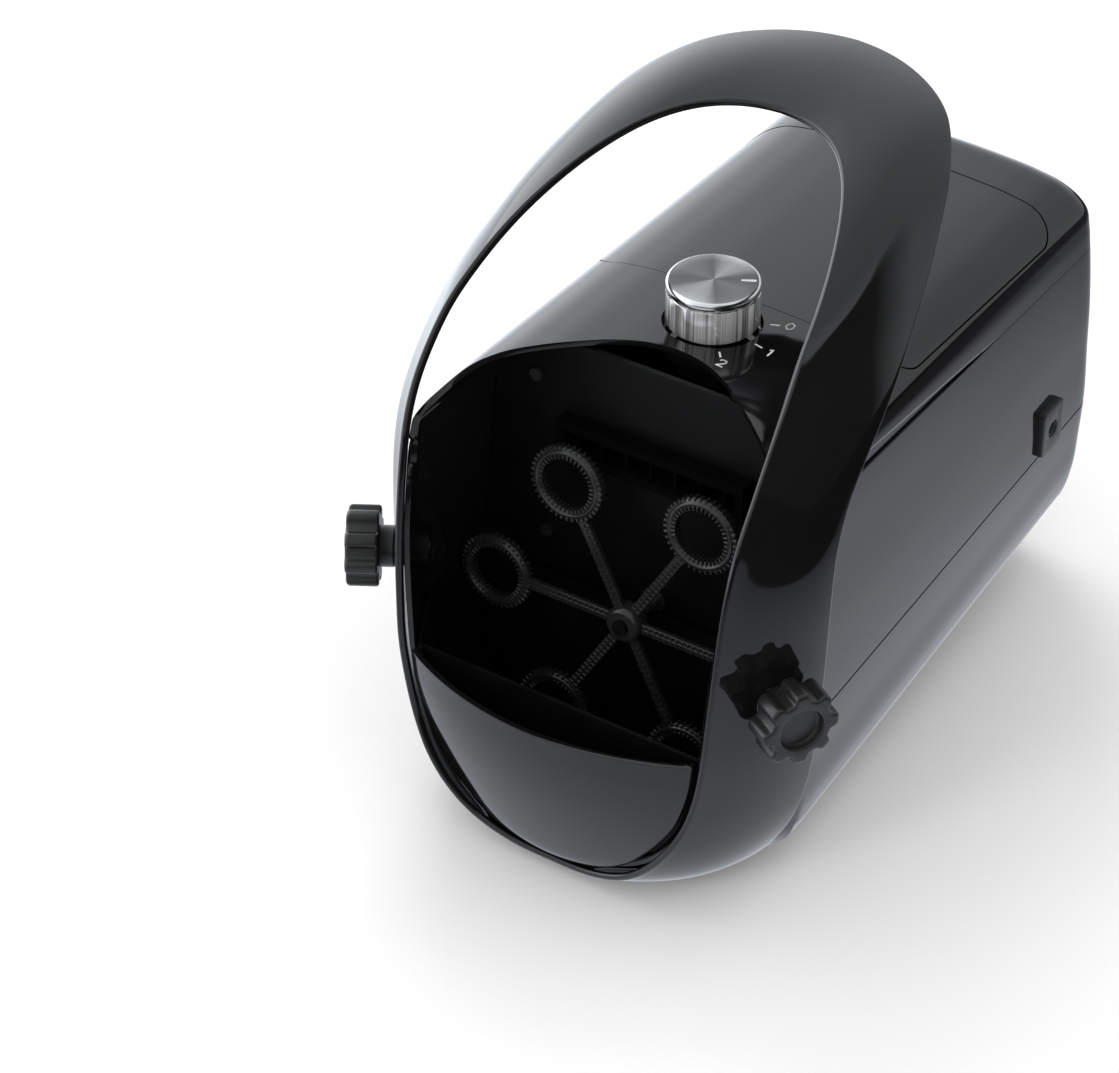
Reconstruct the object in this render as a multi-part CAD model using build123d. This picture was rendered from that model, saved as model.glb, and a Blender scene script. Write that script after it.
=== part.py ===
from build123d import *
import os
import math
import numpy as np

# Portable bubble machine, millimetres.  +X = right hand side seen from the front,
# +Y = rearwards, +Z = up.  The machine stands on its feet on z = 0.
# It is laid out from a datum (y = 0) close behind the front rim of the carrying bow; save()
# shifts every piece by -MID_Y, so that the origin ends up under the middle of the box.

# ------------------------------------------------------------------ main dimensions
MID_Y = 141.15                  # middle of the whole length, from the datum
WALL = 2.6                      # casing wall
REAR_Y = 313.9                  # rear face of the casing
REAR_ROUND = 16.0               # radius of the rounding around the rear face
TAPER_Y, TAPER_LENGTH = 50.0, 250.0  # the casing tapers rearwards from TAPER_Y
CROWN_Z, CROWN_DROP = 217.2, 8.0     # crown at TAPER_Y, and its fall over the taper
FLOOR_Z = 7.5                   # underside of the tub at TAPER_Y
TOP_HALF_WIDTH, LOW_HALF_WIDTH = 84.0, 91.0  # half widths at the two joint lines
TOP_CORNER, LOW_CORNER = 7, 10  # outline corners on the upper and the lower joint line
SEAM_GAP = 0.15                 # a cover stops this far short of its joint line
OUTLINE_CENTRE = np.array([0.0, 105.0])      # x, z from which outline radii are taken
BOW_T = 3.5                     # wall of the bow
BOW_GAP = 1.8                   # air between the bow and the casing
TANK_RIM_Z = 91.5
BULK_Y0, BULK_Y1 = 66.0, 68.5   # front and rear face of the bulkhead
DIAL_Y = 107.5
STUD_R = 4.0

# y stations of the lofts
REAR_STATIONS = [TAPER_Y, 180, REAR_Y - REAR_ROUND, 304, 309.5, 312.8, REAR_Y]
NOSE_STATIONS = [-2, 10, 22, 28.2, 31.5, 36]
BODY_STATIONS = [-13.5] + NOSE_STATIONS + REAR_STATIONS
TOP_STATIONS = [-2, 10, 22, 36] + REAR_STATIONS
END_STATIONS = [309.0, 312.8, REAR_Y]        # solid end wall

# fixing points, x and y
TOP_POSTS = [(-66, 100, 207.2), (66, 100, 207.2), (-62, 285, 203.2), (62, 285, 203.2)]  # + top z
LOW_POSTS = [(-62, 100), (62, 100), (-56, 250), (56, 250)]
FEET = [(-50, 47.5, 6.6), (50, 47.5, 6.6), (-38, 258, 13.0), (38, 258, 13.0)]  # + top z
BULK_SCREWS = [(-55, 110), (55, 110), (-60, 190), (60, 190)]      # x and z

# ------------------------------------------------------------------ helpers
ON_BASE = (Align.CENTER, Align.CENTER, Align.MIN)


def save(name, shape):
    solids = shape.moved(Location((0, -MID_Y, 0))).solids()
    piece = solids[0] if len(solids) == 1 else Compound(children=list(solids))
    piece.label = name
    export_step(piece, f"parts/{name}.step")


def largest(shape):
    return max(shape.solids(), key=lambda solid: solid.volume)


def box(x0, x1, y0, y1, z0, z1):
    return Box(x1 - x0, y1 - y0, z1 - z0, align=(Align.MIN,) * 3).moved(Location((x0, y0, z0)))


def upright(radius, z0, z1, x=0, y=0):
    return Cylinder(radius, z1 - z0, align=ON_BASE).moved(Location((x, y, z0)))


def cone(low_radius, high_radius, z0, z1, x=0, y=0):
    return Cone(low_radius, high_radius, z1 - z0, align=ON_BASE).moved(Location((x, y, z0)))


def along_x(radius, x0, x1, y, z):
    return Cylinder(radius, x1 - x0, align=ON_BASE).moved(Location((x0, y, z), (0, 90, 0)))


def along_y(radius, y0, y1, x, z):
    return Cylinder(radius, y1 - y0, align=ON_BASE).moved(Location((x, y0, z), (-90, 0, 0)))


def polar(radius, degrees):
    angle = math.radians(degrees)
    return radius * math.cos(angle), radius * math.sin(angle)


def prism(points, direction):
    """extrude a closed polygon of 3D points"""
    face = Face(Wire.make_polygon([Vector(*p) for p in points], close=True))
    return Solid.extrude(face, Vector(*direction))


def on_side(side, shape):
    """side 1 keeps the right hand shape, side -1 mirrors it to the left"""
    return shape if side > 0 else mirror(shape, Plane.YZ)


# ------------------------------------------------------------------ carrying bow, right half
# front rim point, rear rim point, outward bulge of the band; bottom middle to top middle
BOW = [((0, -17, 6), (0, 22, 4.5), 0.0), ((20, -17.5, 7.5), (30, 22.5, 4.5), 1.0),
       ((38, -19.5, 16), (57, 24, 5.2), 3.5), ((50, -21, 27.5), (74, 28, 12.5), 4.5),
       ((59.8, -21, 41), (86, 30, 28.5), 4.0), ((67.3, -19.3, 56), (94, 31, 47), 3.0),
       ((72.5, -18.5, 75), (99.8, 30.7, 75), 2.2), ((75.5, -18.5, 95.5), (102.3, 29.5, 97), 1.8),
       ((76.6, -17.6, 116), (104, 29, 120), 1.6), ((77.6, -15.9, 136), (105, 28.8, 143), 1.6),
       ((78.3, -13, 160), (105.5, 29.2, 165), 1.6), ((79.1, -9.5, 180), (104.8, 33, 185), 1.6),
       ((80.1, -3.9, 199), (103.7, 42, 201), 1.6), ((80.8, 4.3, 214), (103, 56.5, 216), 1.7),
       ((80.3, 15, 228), (101.8, 73, 229), 1.8), ((79, 27, 240.5), (99.5, 88, 240), 2.0),
       ((76.5, 40, 250.5), (96, 104, 250.5), 2.1), ((73.3, 55, 260), (91.7, 122, 261.5), 2.3),
       ((69.5, 72, 268), (86, 140, 271), 2.5), ((64, 90, 275.5), (79, 160, 280.3), 2.7),
       ((56, 110, 282.7), (69.5, 179, 286.8), 2.9), ((46, 129, 288), (58, 196, 290.6), 3.1),
       ((32, 146, 291), (40, 211, 292.7), 3.3), ((16, 155.5, 292), (20, 220.5, 293.6), 3.4),
       ((0, 158, 292.3), (0, 223.5, 294), 3.5)]
BOW_FRONT, BOW_REAR, BOW_BULGE = (np.array(column, float) for column in zip(*BOW))
BOW_INSIDE = np.array([0, 60, 125])     # a point enclosed by the bow
BESIDE_CASING = 16                      # the first sections stand beside the casing


def bow_tangent(i):
    if i == 0:
        return np.array([1.0, 0, 0])
    if i == len(BOW) - 1:
        return np.array([-1.0, 0, 0])
    middles = (BOW_FRONT + BOW_REAR) / 2
    step = middles[i + 1] - middles[i - 1]
    return step / np.linalg.norm(step)


def bow_section(i):
    front, rear = BOW_FRONT[i], BOW_REAR[i]
    chord = (rear - front) / np.linalg.norm(rear - front)
    inward = np.cross(chord, bow_tangent(i))
    inward /= np.linalg.norm(inward)
    if np.dot(inward, BOW_INSIDE - (front + rear) / 2) < 0:
        inward = -inward
    middle = (front + rear) / 2 - inward * BOW_BULGE[i]
    front_in = front + inward * BOW_T + chord * 0.6
    rear_in = rear + inward * BOW_T - chord * 0.6
    middle_in = middle + inward * BOW_T
    front, middle, rear, rear_in, middle_in, front_in = (
        Vector(*p) for p in (front, middle, rear, rear_in, middle_in, front_in))
    return Wire([Edge.make_spline([front, middle, rear]), Edge.make_line(rear, rear_in),
                 Edge.make_spline([rear_in, middle_in, front_in]),
                 Edge.make_line(front_in, front)])


def bow_limit(y, angles):
    """largest outline radius that stays inside the bow at station y"""
    bow_angles, bow_radii = [], []
    for front, rear in zip(BOW_FRONT[:BESIDE_CASING], BOW_REAR[:BESIDE_CASING]):
        t = (y - front[1]) / (rear[1] - front[1])
        if t < -0.45:
            continue
        point = front + (rear - front) * t
        arm = np.array([point[0], point[2]]) - OUTLINE_CENTRE
        bow_angles.append(math.atan2(arm[1], arm[0]))
        # behind the rear rim the limit opens up quickly
        bow_radii.append(np.hypot(*arm) + max(t - 1.08, 0) * 160)
    if len(bow_angles) < 3:
        return np.full(len(angles), 1e3)
    order = np.argsort(bow_angles)
    bow_angles = np.array(bow_angles)[order]
    limit = np.interp(angles, bow_angles, np.array(bow_radii)[order])
    limit = np.where(angles > bow_angles[-1] + 0.02, 1e3, limit)
    return limit - BOW_T / math.cos(math.radians(30)) - BOW_GAP


# ------------------------------------------------------------------ casing outline
def seam_top(y):
    """height of the joint line top cover / middle shell"""
    return 183.0 - 0.03 * max(y - TAPER_Y, 0)


def seam_low(y):
    """height of the joint line middle shell / bottom tub"""
    return 82.0 + 0.04 * max(y - TAPER_Y, 0)


def outline(y, inset=0.0):
    """right half of the casing outline at station y, x and z, top middle to bottom middle"""
    t = max(y - TAPER_Y, 0) / TAPER_LENGTH
    crown, floor = CROWN_Z - CROWN_DROP * t, FLOOR_Z + 8.8 * t
    upper, lower = seam_top(y), seam_low(y)
    wide_top, wide_low = TOP_HALF_WIDTH - 2.5 * t, LOW_HALF_WIDTH - 5 * t
    radius = 27 + 14 * t                # rounding of the tub
    points = [(0, crown), (30, crown - .8), (50, crown - 2.5), (64, crown - 5.5),
              (72.5, crown - 9.8), (78, crown - 15.5), (wide_top - 1.3, crown - 24),
              (wide_top, upper), (wide_top + 2.8, upper - 32), (wide_low - 1.0, lower + 32),
              (wide_low, lower), (wide_low - .8, (lower + floor + radius) / 2)]
    for degrees in (-4, -24, -44, -64, -84):
        x, z = polar(radius, degrees)
        points.append((wide_low - 2.2 - radius + x, floor + radius + z))
    points.append((0, floor))

    arms = np.array(points, float) - OUTLINE_CENTRE
    angles = np.arctan2(arms[:, 1], arms[:, 0])
    radii = np.minimum(np.hypot(arms[:, 0], arms[:, 1]), bow_limit(y, angles))
    points = OUTLINE_CENTRE + np.c_[radii * np.cos(angles), radii * np.sin(angles)]

    into_round = y - REAR_Y + REAR_ROUND
    if into_round > 0:
        inset += REAR_ROUND - math.sqrt(max(REAR_ROUND ** 2 - into_round ** 2, 4))
    if inset > 0:
        along = np.gradient(points, axis=0)
        along[0], along[-1] = (1, 0), (-1, 0)
        along /= np.linalg.norm(along, axis=1)[:, None]
        points = points + np.c_[along[:, 1], -along[:, 0]] * inset
    points[0, 0] = points[-1, 0] = 0
    return points


def shift_corner(points, corner, dz):
    """move a corner up or down by dz along the outline side that leaves it that way"""
    points = points.copy()
    other = corner + 1 if dz < 0 else corner - 1
    share = dz / (points[other, 1] - points[corner, 1])
    points[corner] += (points[other] - points[corner]) * share
    return points


def top_half(y, inset=0.0):
    return shift_corner(outline(y, inset), TOP_CORNER, SEAM_GAP)[:TOP_CORNER + 1]


def middle_half(y, inset=0.0):
    points = shift_corner(outline(y, inset), TOP_CORNER, -SEAM_GAP)
    return shift_corner(points, LOW_CORNER, SEAM_GAP)[TOP_CORNER:LOW_CORNER + 1]


def low_half(y, inset):
    # a hair below the joint line, so that the rim is not flush with the end wall
    return shift_corner(outline(y, inset), LOW_CORNER, -0.0001)[LOW_CORNER:]


def mirrored(points):
    return [(-x, z) for x, z in points[::-1]]


def whole(half):
    """right half followed by its mirror image, without doubled points on x = 0"""
    return [tuple(p) for p in half] + [p for p in mirrored(half) if abs(p[0]) > 1e-6]


def band(outer, inner):
    return [tuple(p) for p in outer] + [tuple(p) for p in inner[::-1]]


def loft_y(section, stations):
    """ruled loft through section(y), a list of x, z points"""
    wires = []
    for y in stations:
        wires.append(Wire.make_polygon([Vector(x, y, z) for x, z in section(y)], close=True))
    return Solid.make_loft(wires, ruled=True)


# y, z of everything in front of the raked front edges of top cover and middle shell
FRONT_CUT = [(-60, -60), (-60, 300), (70, 300), (62, 224), (40, 214.5), (27, 209), (16, 201),
             (6.4, 193), (-0.6, 185), (-5.2, 176), (-8.6, 165), (-10.8, 152), (-12.6, 136),
             (-13.6, 116), (-14.5, 80), (-14.5, -60)]


def front_cutter():
    return prism([(-200, y, z) for y, z in FRONT_CUT], (400, 0, 0))


# ------------------------------------------------------------------ top cover, panel, marks
# x, y of the right half of the notch in the front edge of the top cover
NOTCH = [(0, 80), (9, 79.2), (18, 76.6), (30, 70), (43, 60.3), (56, 50), (66, 41.5),
         (74, 32.5), (79, 22)]
NOTCH_Z = 186
PANEL_Y0, PANEL_Y1, PANEL_HALF_WIDTH, PANEL_CORNER = 130.0, 276.0, 77.8, 16
DISH_R = 21.4                            # round recess under the dial
LEDGE_END = 205
MARK_ANGLES = (28.0, -12.0, -52.0)       # directions of the figures 0, 1, 2 from the dial
FIGURE_T = 0.8
FIGURE_1 = [(-0.4, -2.8), (0.4, -2.8), (0.4, 2.8), (-0.3, 2.8), (-1.5, 1.9), (-1.1, 1.3),
            (-0.4, 1.8)]
FIGURE_2 = [(-1.9, -2.8), (1.9, -2.8), (1.9, -2.05), (-0.8, -2.05), (1.5, 0.2), (1.9, 1.2),
            (1.6, 2.2), (0.8, 2.75), (-0.6, 2.8), (-1.5, 2.3), (-1.9, 1.4), (-1.15, 1.3),
            (-0.8, 1.9), (-0.2, 2.1), (0.5, 2.05), (1.05, 1.6), (1.1, 1.1), (0.8, 0.5),
            (-1.9, -2.1)]


def dial_marks():
    """ticks and plain figures let into the crown beside the dial"""
    def surface_z(x):
        fall = CROWN_DROP / TAPER_LENGTH * (DIAL_Y - TAPER_Y)
        return float(np.interp(abs(x), [0, 30, 50], [CROWN_Z, CROWN_Z - .8, CROWN_Z - 2.5])) - fall

    figures = [extrude(Ellipse(2.0, 2.8) - Ellipse(1.25, 2.05), FIGURE_T)]
    for points in (FIGURE_1, FIGURE_2):
        figures.append(prism([(x, y, 0) for x, y in points], (0, 0, FIGURE_T)))
    marks = []
    for figure, angle in zip(figures, MARK_ANGLES):
        x, y = polar(26.2, angle)
        tick = Box(4.0, 0.8, 0.8)
        tick = tick.moved(Location((x, DIAL_Y + y, surface_z(x) - 0.3), (0, 0, angle)))
        x, y = polar(32.5, angle)
        figure = figure.moved(Location((x, DIAL_Y + y, surface_z(x) - 0.7)))
        marks += [largest(tick), largest(figure)]
    return marks


def arch(outer, inner):
    def over(y, inset):
        half = top_half(y, inset)
        return mirrored(half) + [tuple(p) for p in half[1:]]
    return lambda y: band(over(y, outer), over(y, inner))


def panel_prism(offset):
    size = RectangleRounded(2 * (PANEL_HALF_WIDTH + offset), PANEL_Y1 - PANEL_Y0 + 2 * offset,
                            PANEL_CORNER + offset)
    return extrude(Plane.XY.offset(190) * Pos(0, (PANEL_Y0 + PANEL_Y1) / 2) * size, 60)


def panel_skin(thickness, offset):
    return loft_y(arch(0.0, thickness), [50, 180, 290]) & panel_prism(offset)


def notch_cutter():
    right = [Vector(x, y, NOTCH_Z) for x, y in NOTCH]
    left = [Vector(-x, y, NOTCH_Z) for x, y in NOTCH[::-1]]
    right_far, left_far = Vector(79, -60, NOTCH_Z), Vector(-79, -60, NOTCH_Z)
    edges = [Edge.make_spline(left + right[1:]), Edge.make_line(right[-1], right_far),
             Edge.make_line(right_far, left_far), Edge.make_line(left_far, left[0])]
    return Solid.extrude(Face(Wire(edges)), Vector(0, 0, 60))


def ledge_section(y):
    """slope cut along the joint line, deepest next to the bow"""
    (x6, _), (x7, _) = outline(y, -2.0)[6:8]
    (in6, _), (in7, _) = outline(y, 1.3)[6:8]
    height = 8.0 * (LEDGE_END - y) / (LEDGE_END - TAPER_Y) + 0.4
    z = seam_top(y)
    return [(x7, z - 1), (x6 + 1.5, z + height),
            (in6 + (in7 - in6) * (1 - height / 10.0), z + height), (in7, z - 1)]


def top_cover(marks):
    cover = loft_y(arch(0.0, WALL), TOP_STATIONS)
    cover = cover + loft_y(lambda y: whole(top_half(y)), END_STATIONS)
    stations = [34, TAPER_Y, LEDGE_END]
    cover = cover - [loft_y(ledge_section, stations),
                     loft_y(lambda y: mirrored(ledge_section(y)), stations)]
    cover = cover - [front_cutter(), notch_cutter(), panel_skin(1.5, 0.0), panel_prism(-6.0),
                     upright(DISH_R, 200, 240, y=DIAL_Y)] - marks
    cover = largest(cover)
    added = [upright(23.0, 205.5, 213.2, y=DIAL_Y) - upright(DISH_R, 207.5, 240, y=DIAL_Y)
             - upright(4.6, 200, 240, y=DIAL_Y)]
    for x, y, top_z in TOP_POSTS:
        added.append(upright(3.6, seam_top(y) + 1.0, top_z, x, y)
                     - upright(1.25, 150, top_z - 4.2, x, y))
    return largest(cover + added)


# ------------------------------------------------------------------ clamp screw frame
KNOB_CENTRE = (92.27, 9.0, 121.0)   # where the right clamp screw passes the middle of the band
KNOB_ANGLE = 30.5                   # degrees the clamp screws point forward, square to the band
KNOB_TOP = 23.0                     # height of the knob face over the middle of the band
KNOB_BASE = 9.0
KNOB_R, KNOB_WAVE, KNOB_LOBES = 15.7, 1.4, 8
KNOB_COS, KNOB_SIN = polar(1, KNOB_ANGLE)
KNOB_FRAME = Plane(origin=KNOB_CENTRE, x_dir=(0, 0, 1), z_dir=(KNOB_COS, -KNOB_SIN, 0)).location


def knob_rod(radius, start, end):
    """cylinder on the right clamp screw, heights measured from the middle of the band"""
    return upright(radius, start, end).moved(KNOB_FRAME)


# ------------------------------------------------------------------ middle shell and tub
JACK_Y, JACK_Z = 262.0, 103.0


def post_with_rib(radius, x, y, wall_x, post_z, rib_z):
    """post joined to the side wall by a thin rib; post_z and rib_z are bottom and top"""
    x0, x1 = sorted((x, math.copysign(wall_x, x)))
    return box(x0, x1, y - 1.2, y + 1.2, *rib_z) + upright(radius, *post_z, x, y)


def middle_shell():
    def side_wall(y):
        return band(middle_half(y), middle_half(y, WALL))

    shell = loft_y(side_wall, BODY_STATIONS)
    shell = shell + loft_y(lambda y: mirrored(side_wall(y)), BODY_STATIONS)
    shell = shell + loft_y(lambda y: whole(middle_half(y)), END_STATIONS)
    added, cut = [], [front_cutter()]
    for side in (-1, 1):
        added.append(on_side(side, knob_rod(8.5, -12.0, -4.2)))
        cut += [on_side(side, knob_rod(6.0, -30, -4.0)), on_side(side, knob_rod(9.0, -4.2, 10))]
    for x, y, _ in TOP_POSTS:
        z = seam_top(y)
        added.append(post_with_rib(3.6, x, y, 83.6, (z - 14, z - 1.0), (z - 14, z - 1.5)))
        cut.append(upright(1.6, 100, 200, x, y))
    for x, y in LOW_POSTS:
        z = seam_low(y)
        added.append(post_with_rib(4.0, x, y, 88.6, (z + 1.0, z + 16), (z + 2.0, z + 16)))
        cut.append(upright(1.3, 60, z + 13, x, y))
    cut.append(along_x(4.1, 60, 120, JACK_Y, JACK_Z))
    for k in range(9):                  # slots in the rear wall
        z = 118 + k * 5.0
        cut.append(box(-32, 32, REAR_Y - 8, REAR_Y + 5, z, z + 2.4))
    shell = shell + added
    return largest(shell - cut)


def bottom_tub():
    tub = loft_y(lambda y: band(whole(low_half(y, 0.0)), whole(low_half(y, WALL))),
                 BODY_STATIONS)
    tub = tub + loft_y(lambda y: whole(outline(y)[LOW_CORNER:]), END_STATIONS)
    added, cut = [], []
    for x, y, z in FEET:
        added.append(upright(9.0, z, z + 3.3, x, y))
        cut.append(upright(1.6, 0, 40, x, y))
    for x, y in LOW_POSTS:
        counterbore = upright(3.2, 0, FLOOR_Z + 22, x, y)
        added.append(upright(4.6, 11.8 if y < 200 else 17.2, seam_low(y) + 0.7, x, y)
                     - upright(1.7, 0, 100, x, y) - counterbore)
        cut.append(counterbore)
    tub = tub + added
    return largest(tub - cut)


# ------------------------------------------------------------------ front panel and tank
# z, half width, forward reach of the front panel
FRONT_PANEL = [(11.6, 9, 17.4), (13, 18, 18.8), (16.5, 28, 20.4), (22.5, 37.4, 22.0),
               (31.5, 46.4, 24.0), (44, 55.6, 26.4), (58, 62.4, 28.8), (76, 67.6, 30.8),
               (TANK_RIM_Z, 69.6, 31.6)]
FRONT_PANEL_T = 2.4
TANK_REAR_Y = 62.0


def front_panel():
    def bowl(inset):
        wires = []
        for z, half_width, reach in FRONT_PANEL:
            side_y = -min(18.0, reach - 1.5) + inset * 0.7
            back_y = -14
            x, front_y = max(half_width - inset * 1.08, 3.0), inset - reach
            if inset > 0:
                back_y += 2
                z += inset if z < 40 else inset * 0.3 if z < TANK_RIM_Z else 1
            p = [Vector(-x, back_y, z), Vector(-x, side_y, z), Vector(0, front_y, z),
                 Vector(x, side_y, z), Vector(x, back_y, z)]
            wires.append(Wire([Edge.make_line(p[0], p[1]),
                               Edge.make_three_point_arc(p[1], p[2], p[3]),
                               Edge.make_line(p[3], p[4]), Edge.make_line(p[4], p[0])]))
        return Solid.make_loft(wires, ruled=True)

    return largest(bowl(0) - bowl(FRONT_PANEL_T))


def fluid_tank():
    def vat(inset, rim_z):
        def section(y):
            points = outline(y, inset)
            low, high = points[LOW_CORNER], points[LOW_CORNER - 1]
            rim = low + (high - low) * ((rim_z - low[1]) / (high[1] - low[1]))
            return whole([tuple(rim)] + [tuple(p) for p in points[LOW_CORNER:]])
        return section

    outer = loft_y(vat(WALL + 0.5, TANK_RIM_Z), [-12.0] + NOSE_STATIONS + [50, TANK_REAR_Y])
    inner = loft_y(vat(WALL + 2.3, TANK_RIM_Z + 3),
                   [-10.2, -2, 10, 22, 30.0, 33.5, 38, 50, TANK_REAR_Y - 1.8])
    return largest(outer - inner)


# ------------------------------------------------------------------ wheel frame
WHEEL_Y, WHEEL_Z = 43.0, 97.6
WHEEL_TILT = 5.0                # degrees, top of the wheel leans back
AXLE_R = 3.0
BUSH_R = 6.0
# local +Z runs along the axle to the front and up
WHEEL_FRAME = Location((0, WHEEL_Y, WHEEL_Z), (90 - WHEEL_TILT, 0, 0))


def on_wheel(shape):
    return shape.moved(WHEEL_FRAME)


# ------------------------------------------------------------------ bulkhead and nozzle
NOZZLE_X, NOZZLE_Z0, NOZZLE_Z1 = 46.0, 158.0, 176.0    # outside of the nozzle mouth


def nozzle_box(inset, y0, y1):
    return box(-NOZZLE_X + inset, NOZZLE_X - inset, y0, y1, NOZZLE_Z0 + inset, NOZZLE_Z1 - inset)


def bulkhead():
    plate = loft_y(lambda y: whole(outline(y, WALL + 0.5)), [BULK_Y0, BULK_Y1])
    plate = plate & box(-200, 200, 0, 100, 16, 211.5)
    plate = plate - nozzle_box(2, 50, 80)
    plate = plate + (on_wheel(upright(9.0, -31.5, -23.4)) & box(-50, 50, BULK_Y0, 90, 60, 130))
    plate = plate - on_wheel(upright(BUSH_R, -60, 0))
    for x, z in BULK_SCREWS:
        plate = plate - along_y(1.7, 60, 75, x, z)
    return largest(plate)


def air_nozzle():
    """flat duct mouth with upright vanes, standing through the bulkhead"""
    nozzle = nozzle_box(0, 58.0, BULK_Y0 - 0.1) + nozzle_box(2.1, 58.0, 84.0)
    nozzle = nozzle - nozzle_box(4, 50, 90)
    for k in range(7):
        x = -36 + 12 * k
        nozzle = nozzle + box(x - 0.6, x + 0.6, 60, 80, NOZZLE_Z0 + 3.5, NOZZLE_Z1 - 3.5)
    return largest(nozzle)


# ------------------------------------------------------------------ bow and its clamp screws
def carry_bow():
    half = Solid.make_loft([bow_section(i) for i in range(len(BOW))], ruled=True)
    bow = half + mirror(half, Plane.YZ)
    added, cut = [], []
    for side in (1, -1):
        added += [on_side(side, knob_rod(9.4, -1.5, 2.6)), on_side(side, knob_rod(8.4, -2.6, 0.0))]
        cut += [on_side(side, knob_rod(STUD_R + 0.08, -20, 20)),
                on_side(side, knob_rod(9.6, 2.6, 20)), on_side(side, knob_rod(8.8, -10, -2.6))]
    bow = bow + added
    return largest(bow - cut)


def star_knob():
    points = []
    steps = KNOB_LOBES * 12
    for k in range(steps):
        angle = 2 * math.pi * k / steps
        wave = math.tanh(2.2 * math.cos(KNOB_LOBES * angle)) / math.tanh(2.2)
        radius = KNOB_R + KNOB_WAVE * wave
        points.append(Vector(radius * math.cos(angle), radius * math.sin(angle), KNOB_BASE))
    star = Face(Wire([Edge.make_spline(points, periodic=True)]))
    head = Solid.extrude(star, Vector(0, 0, KNOB_TOP - KNOB_BASE))
    head = head & (cone(17.2, 15.4, KNOB_TOP - 1.6, KNOB_TOP)
                   + upright(17.6, KNOB_BASE + 1.5, KNOB_TOP - 1.6)
                   + cone(15.8, 17.5, KNOB_BASE, KNOB_BASE + 1.5))
    head = head - upright(9.8, KNOB_TOP - 2.8, KNOB_TOP + 2.2)
    head = largest(head).moved(KNOB_FRAME) + knob_rod(9.0, 2.75, KNOB_BASE + 1)
    return largest(head - knob_rod(STUD_R, -5, 16.0))


def clamp_screw_pieces():
    """right hand pieces of a clamp screw"""
    insert = knob_rod(5.98, -12.0, -4.3) - knob_rod(STUD_R + 0.06, -20, 0)
    washer = knob_rod(8.0, -4.15, -2.65) - knob_rod(STUD_R + 0.25, -20, 0)
    return {"star_knob": star_knob(), "knob_stud": largest(knob_rod(STUD_R, -12.6, 15.9)),
            "knob_insert": largest(insert), "knob_washer": largest(washer)}


# ------------------------------------------------------------------ wheel and its drive
RING_PITCH_R = 66.0             # radius on which the rings sit
RING_R, RING_BORE_R, RING_T = 17.8, 11.8, 5.0
RING_COUNT = 6
GEAR_MODULE, GEAR_TEETH, PINION_TEETH = 1.0, 48, 12
# the motor stands on the -X side of the axle, with a little play between the teeth
MOTOR_X = -(GEAR_MODULE * (GEAR_TEETH + PINION_TEETH) / 2 + 0.05)
MOTOR_SHAFT_R = 1.5


def wand_wheel():
    angles = [360 / RING_COUNT * k for k in range(RING_COUNT)]
    wheel = upright(8.5, -4.0, 4.5)
    for angle in angles:
        ring = upright(RING_R, -RING_T / 2, RING_T / 2, *polar(RING_PITCH_R, angle))
        spoke = box(6, RING_PITCH_R - RING_R + 2, -2.4, 2.4, -1.8, 1.8)
        wheel = wheel + ring + spoke.moved(Location((0, 0, 0), (0, 0, angle)))
    for angle in angles:
        wheel = wheel - upright(RING_BORE_R, -5, 5, *polar(RING_PITCH_R, angle))
    return largest(wheel - upright(AXLE_R, -6, 2.5) - upright(1.3, 0, 10))


def gear(teeth, start_angle, thickness, bore):
    """spur gear with straight-sided teeth"""
    pitch = GEAR_MODULE * teeth / 2
    tip, root = GEAR_MODULE * (teeth / 2 + 0.92), GEAR_MODULE * (teeth / 2 - 1.25)
    half_pitch = math.pi / teeth
    # radius, and angle from the tooth middle in half pitches
    tooth = [(root, -0.72), (pitch, -0.44), (tip, -0.2), (tip, 0.2), (pitch, 0.44), (root, 0.72)]
    points = []
    for k in range(teeth):
        for radius, share in tooth:
            angle = 2 * math.pi * k / teeth + start_angle + half_pitch * share
            points.append((radius * math.cos(angle), radius * math.sin(angle), 0))
    return prism(points, (0, 0, thickness)) - upright(bore, -1, thickness + 1)


def drive_gear():
    wheel = gear(GEAR_TEETH, 0.0, 5.0, AXLE_R).moved(Location((0, 0, -38.5)))
    return largest(wheel + (upright(6.0, -38.5, -32.0) - upright(AXLE_R, -45, 0)))


def motor_pinion():
    # turned half a pitch, so that a gap faces the tooth of the drive gear
    pinion = gear(PINION_TEETH, math.pi / PINION_TEETH, 7.0, MOTOR_SHAFT_R)
    return largest(pinion.moved(Location((MOTOR_X, 0, -39.5))))


def gear_motor():
    return largest(upright(12.2, -66, -46, MOTOR_X) + upright(10.0, -92, -66, MOTOR_X)
                   - upright(MOTOR_SHAFT_R + 0.1, -53, -40, MOTOR_X))


def motor_bracket():
    plate = box(MOTOR_X - 19, MOTOR_X + 19, -15, 15, -45.9, -43.9)
    plate = plate - upright(4.0, -50, -40, MOTOR_X)
    for y in (-12, 12):
        plate = plate + upright(2.6, -44.5, -25.2, MOTOR_X - 16, y)
    # the pillars end against the rear face of the bulkhead
    return largest(on_wheel(largest(plate)) & box(-200, 200, BULK_Y1 + 0.02, 200, 0, 300))


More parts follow.
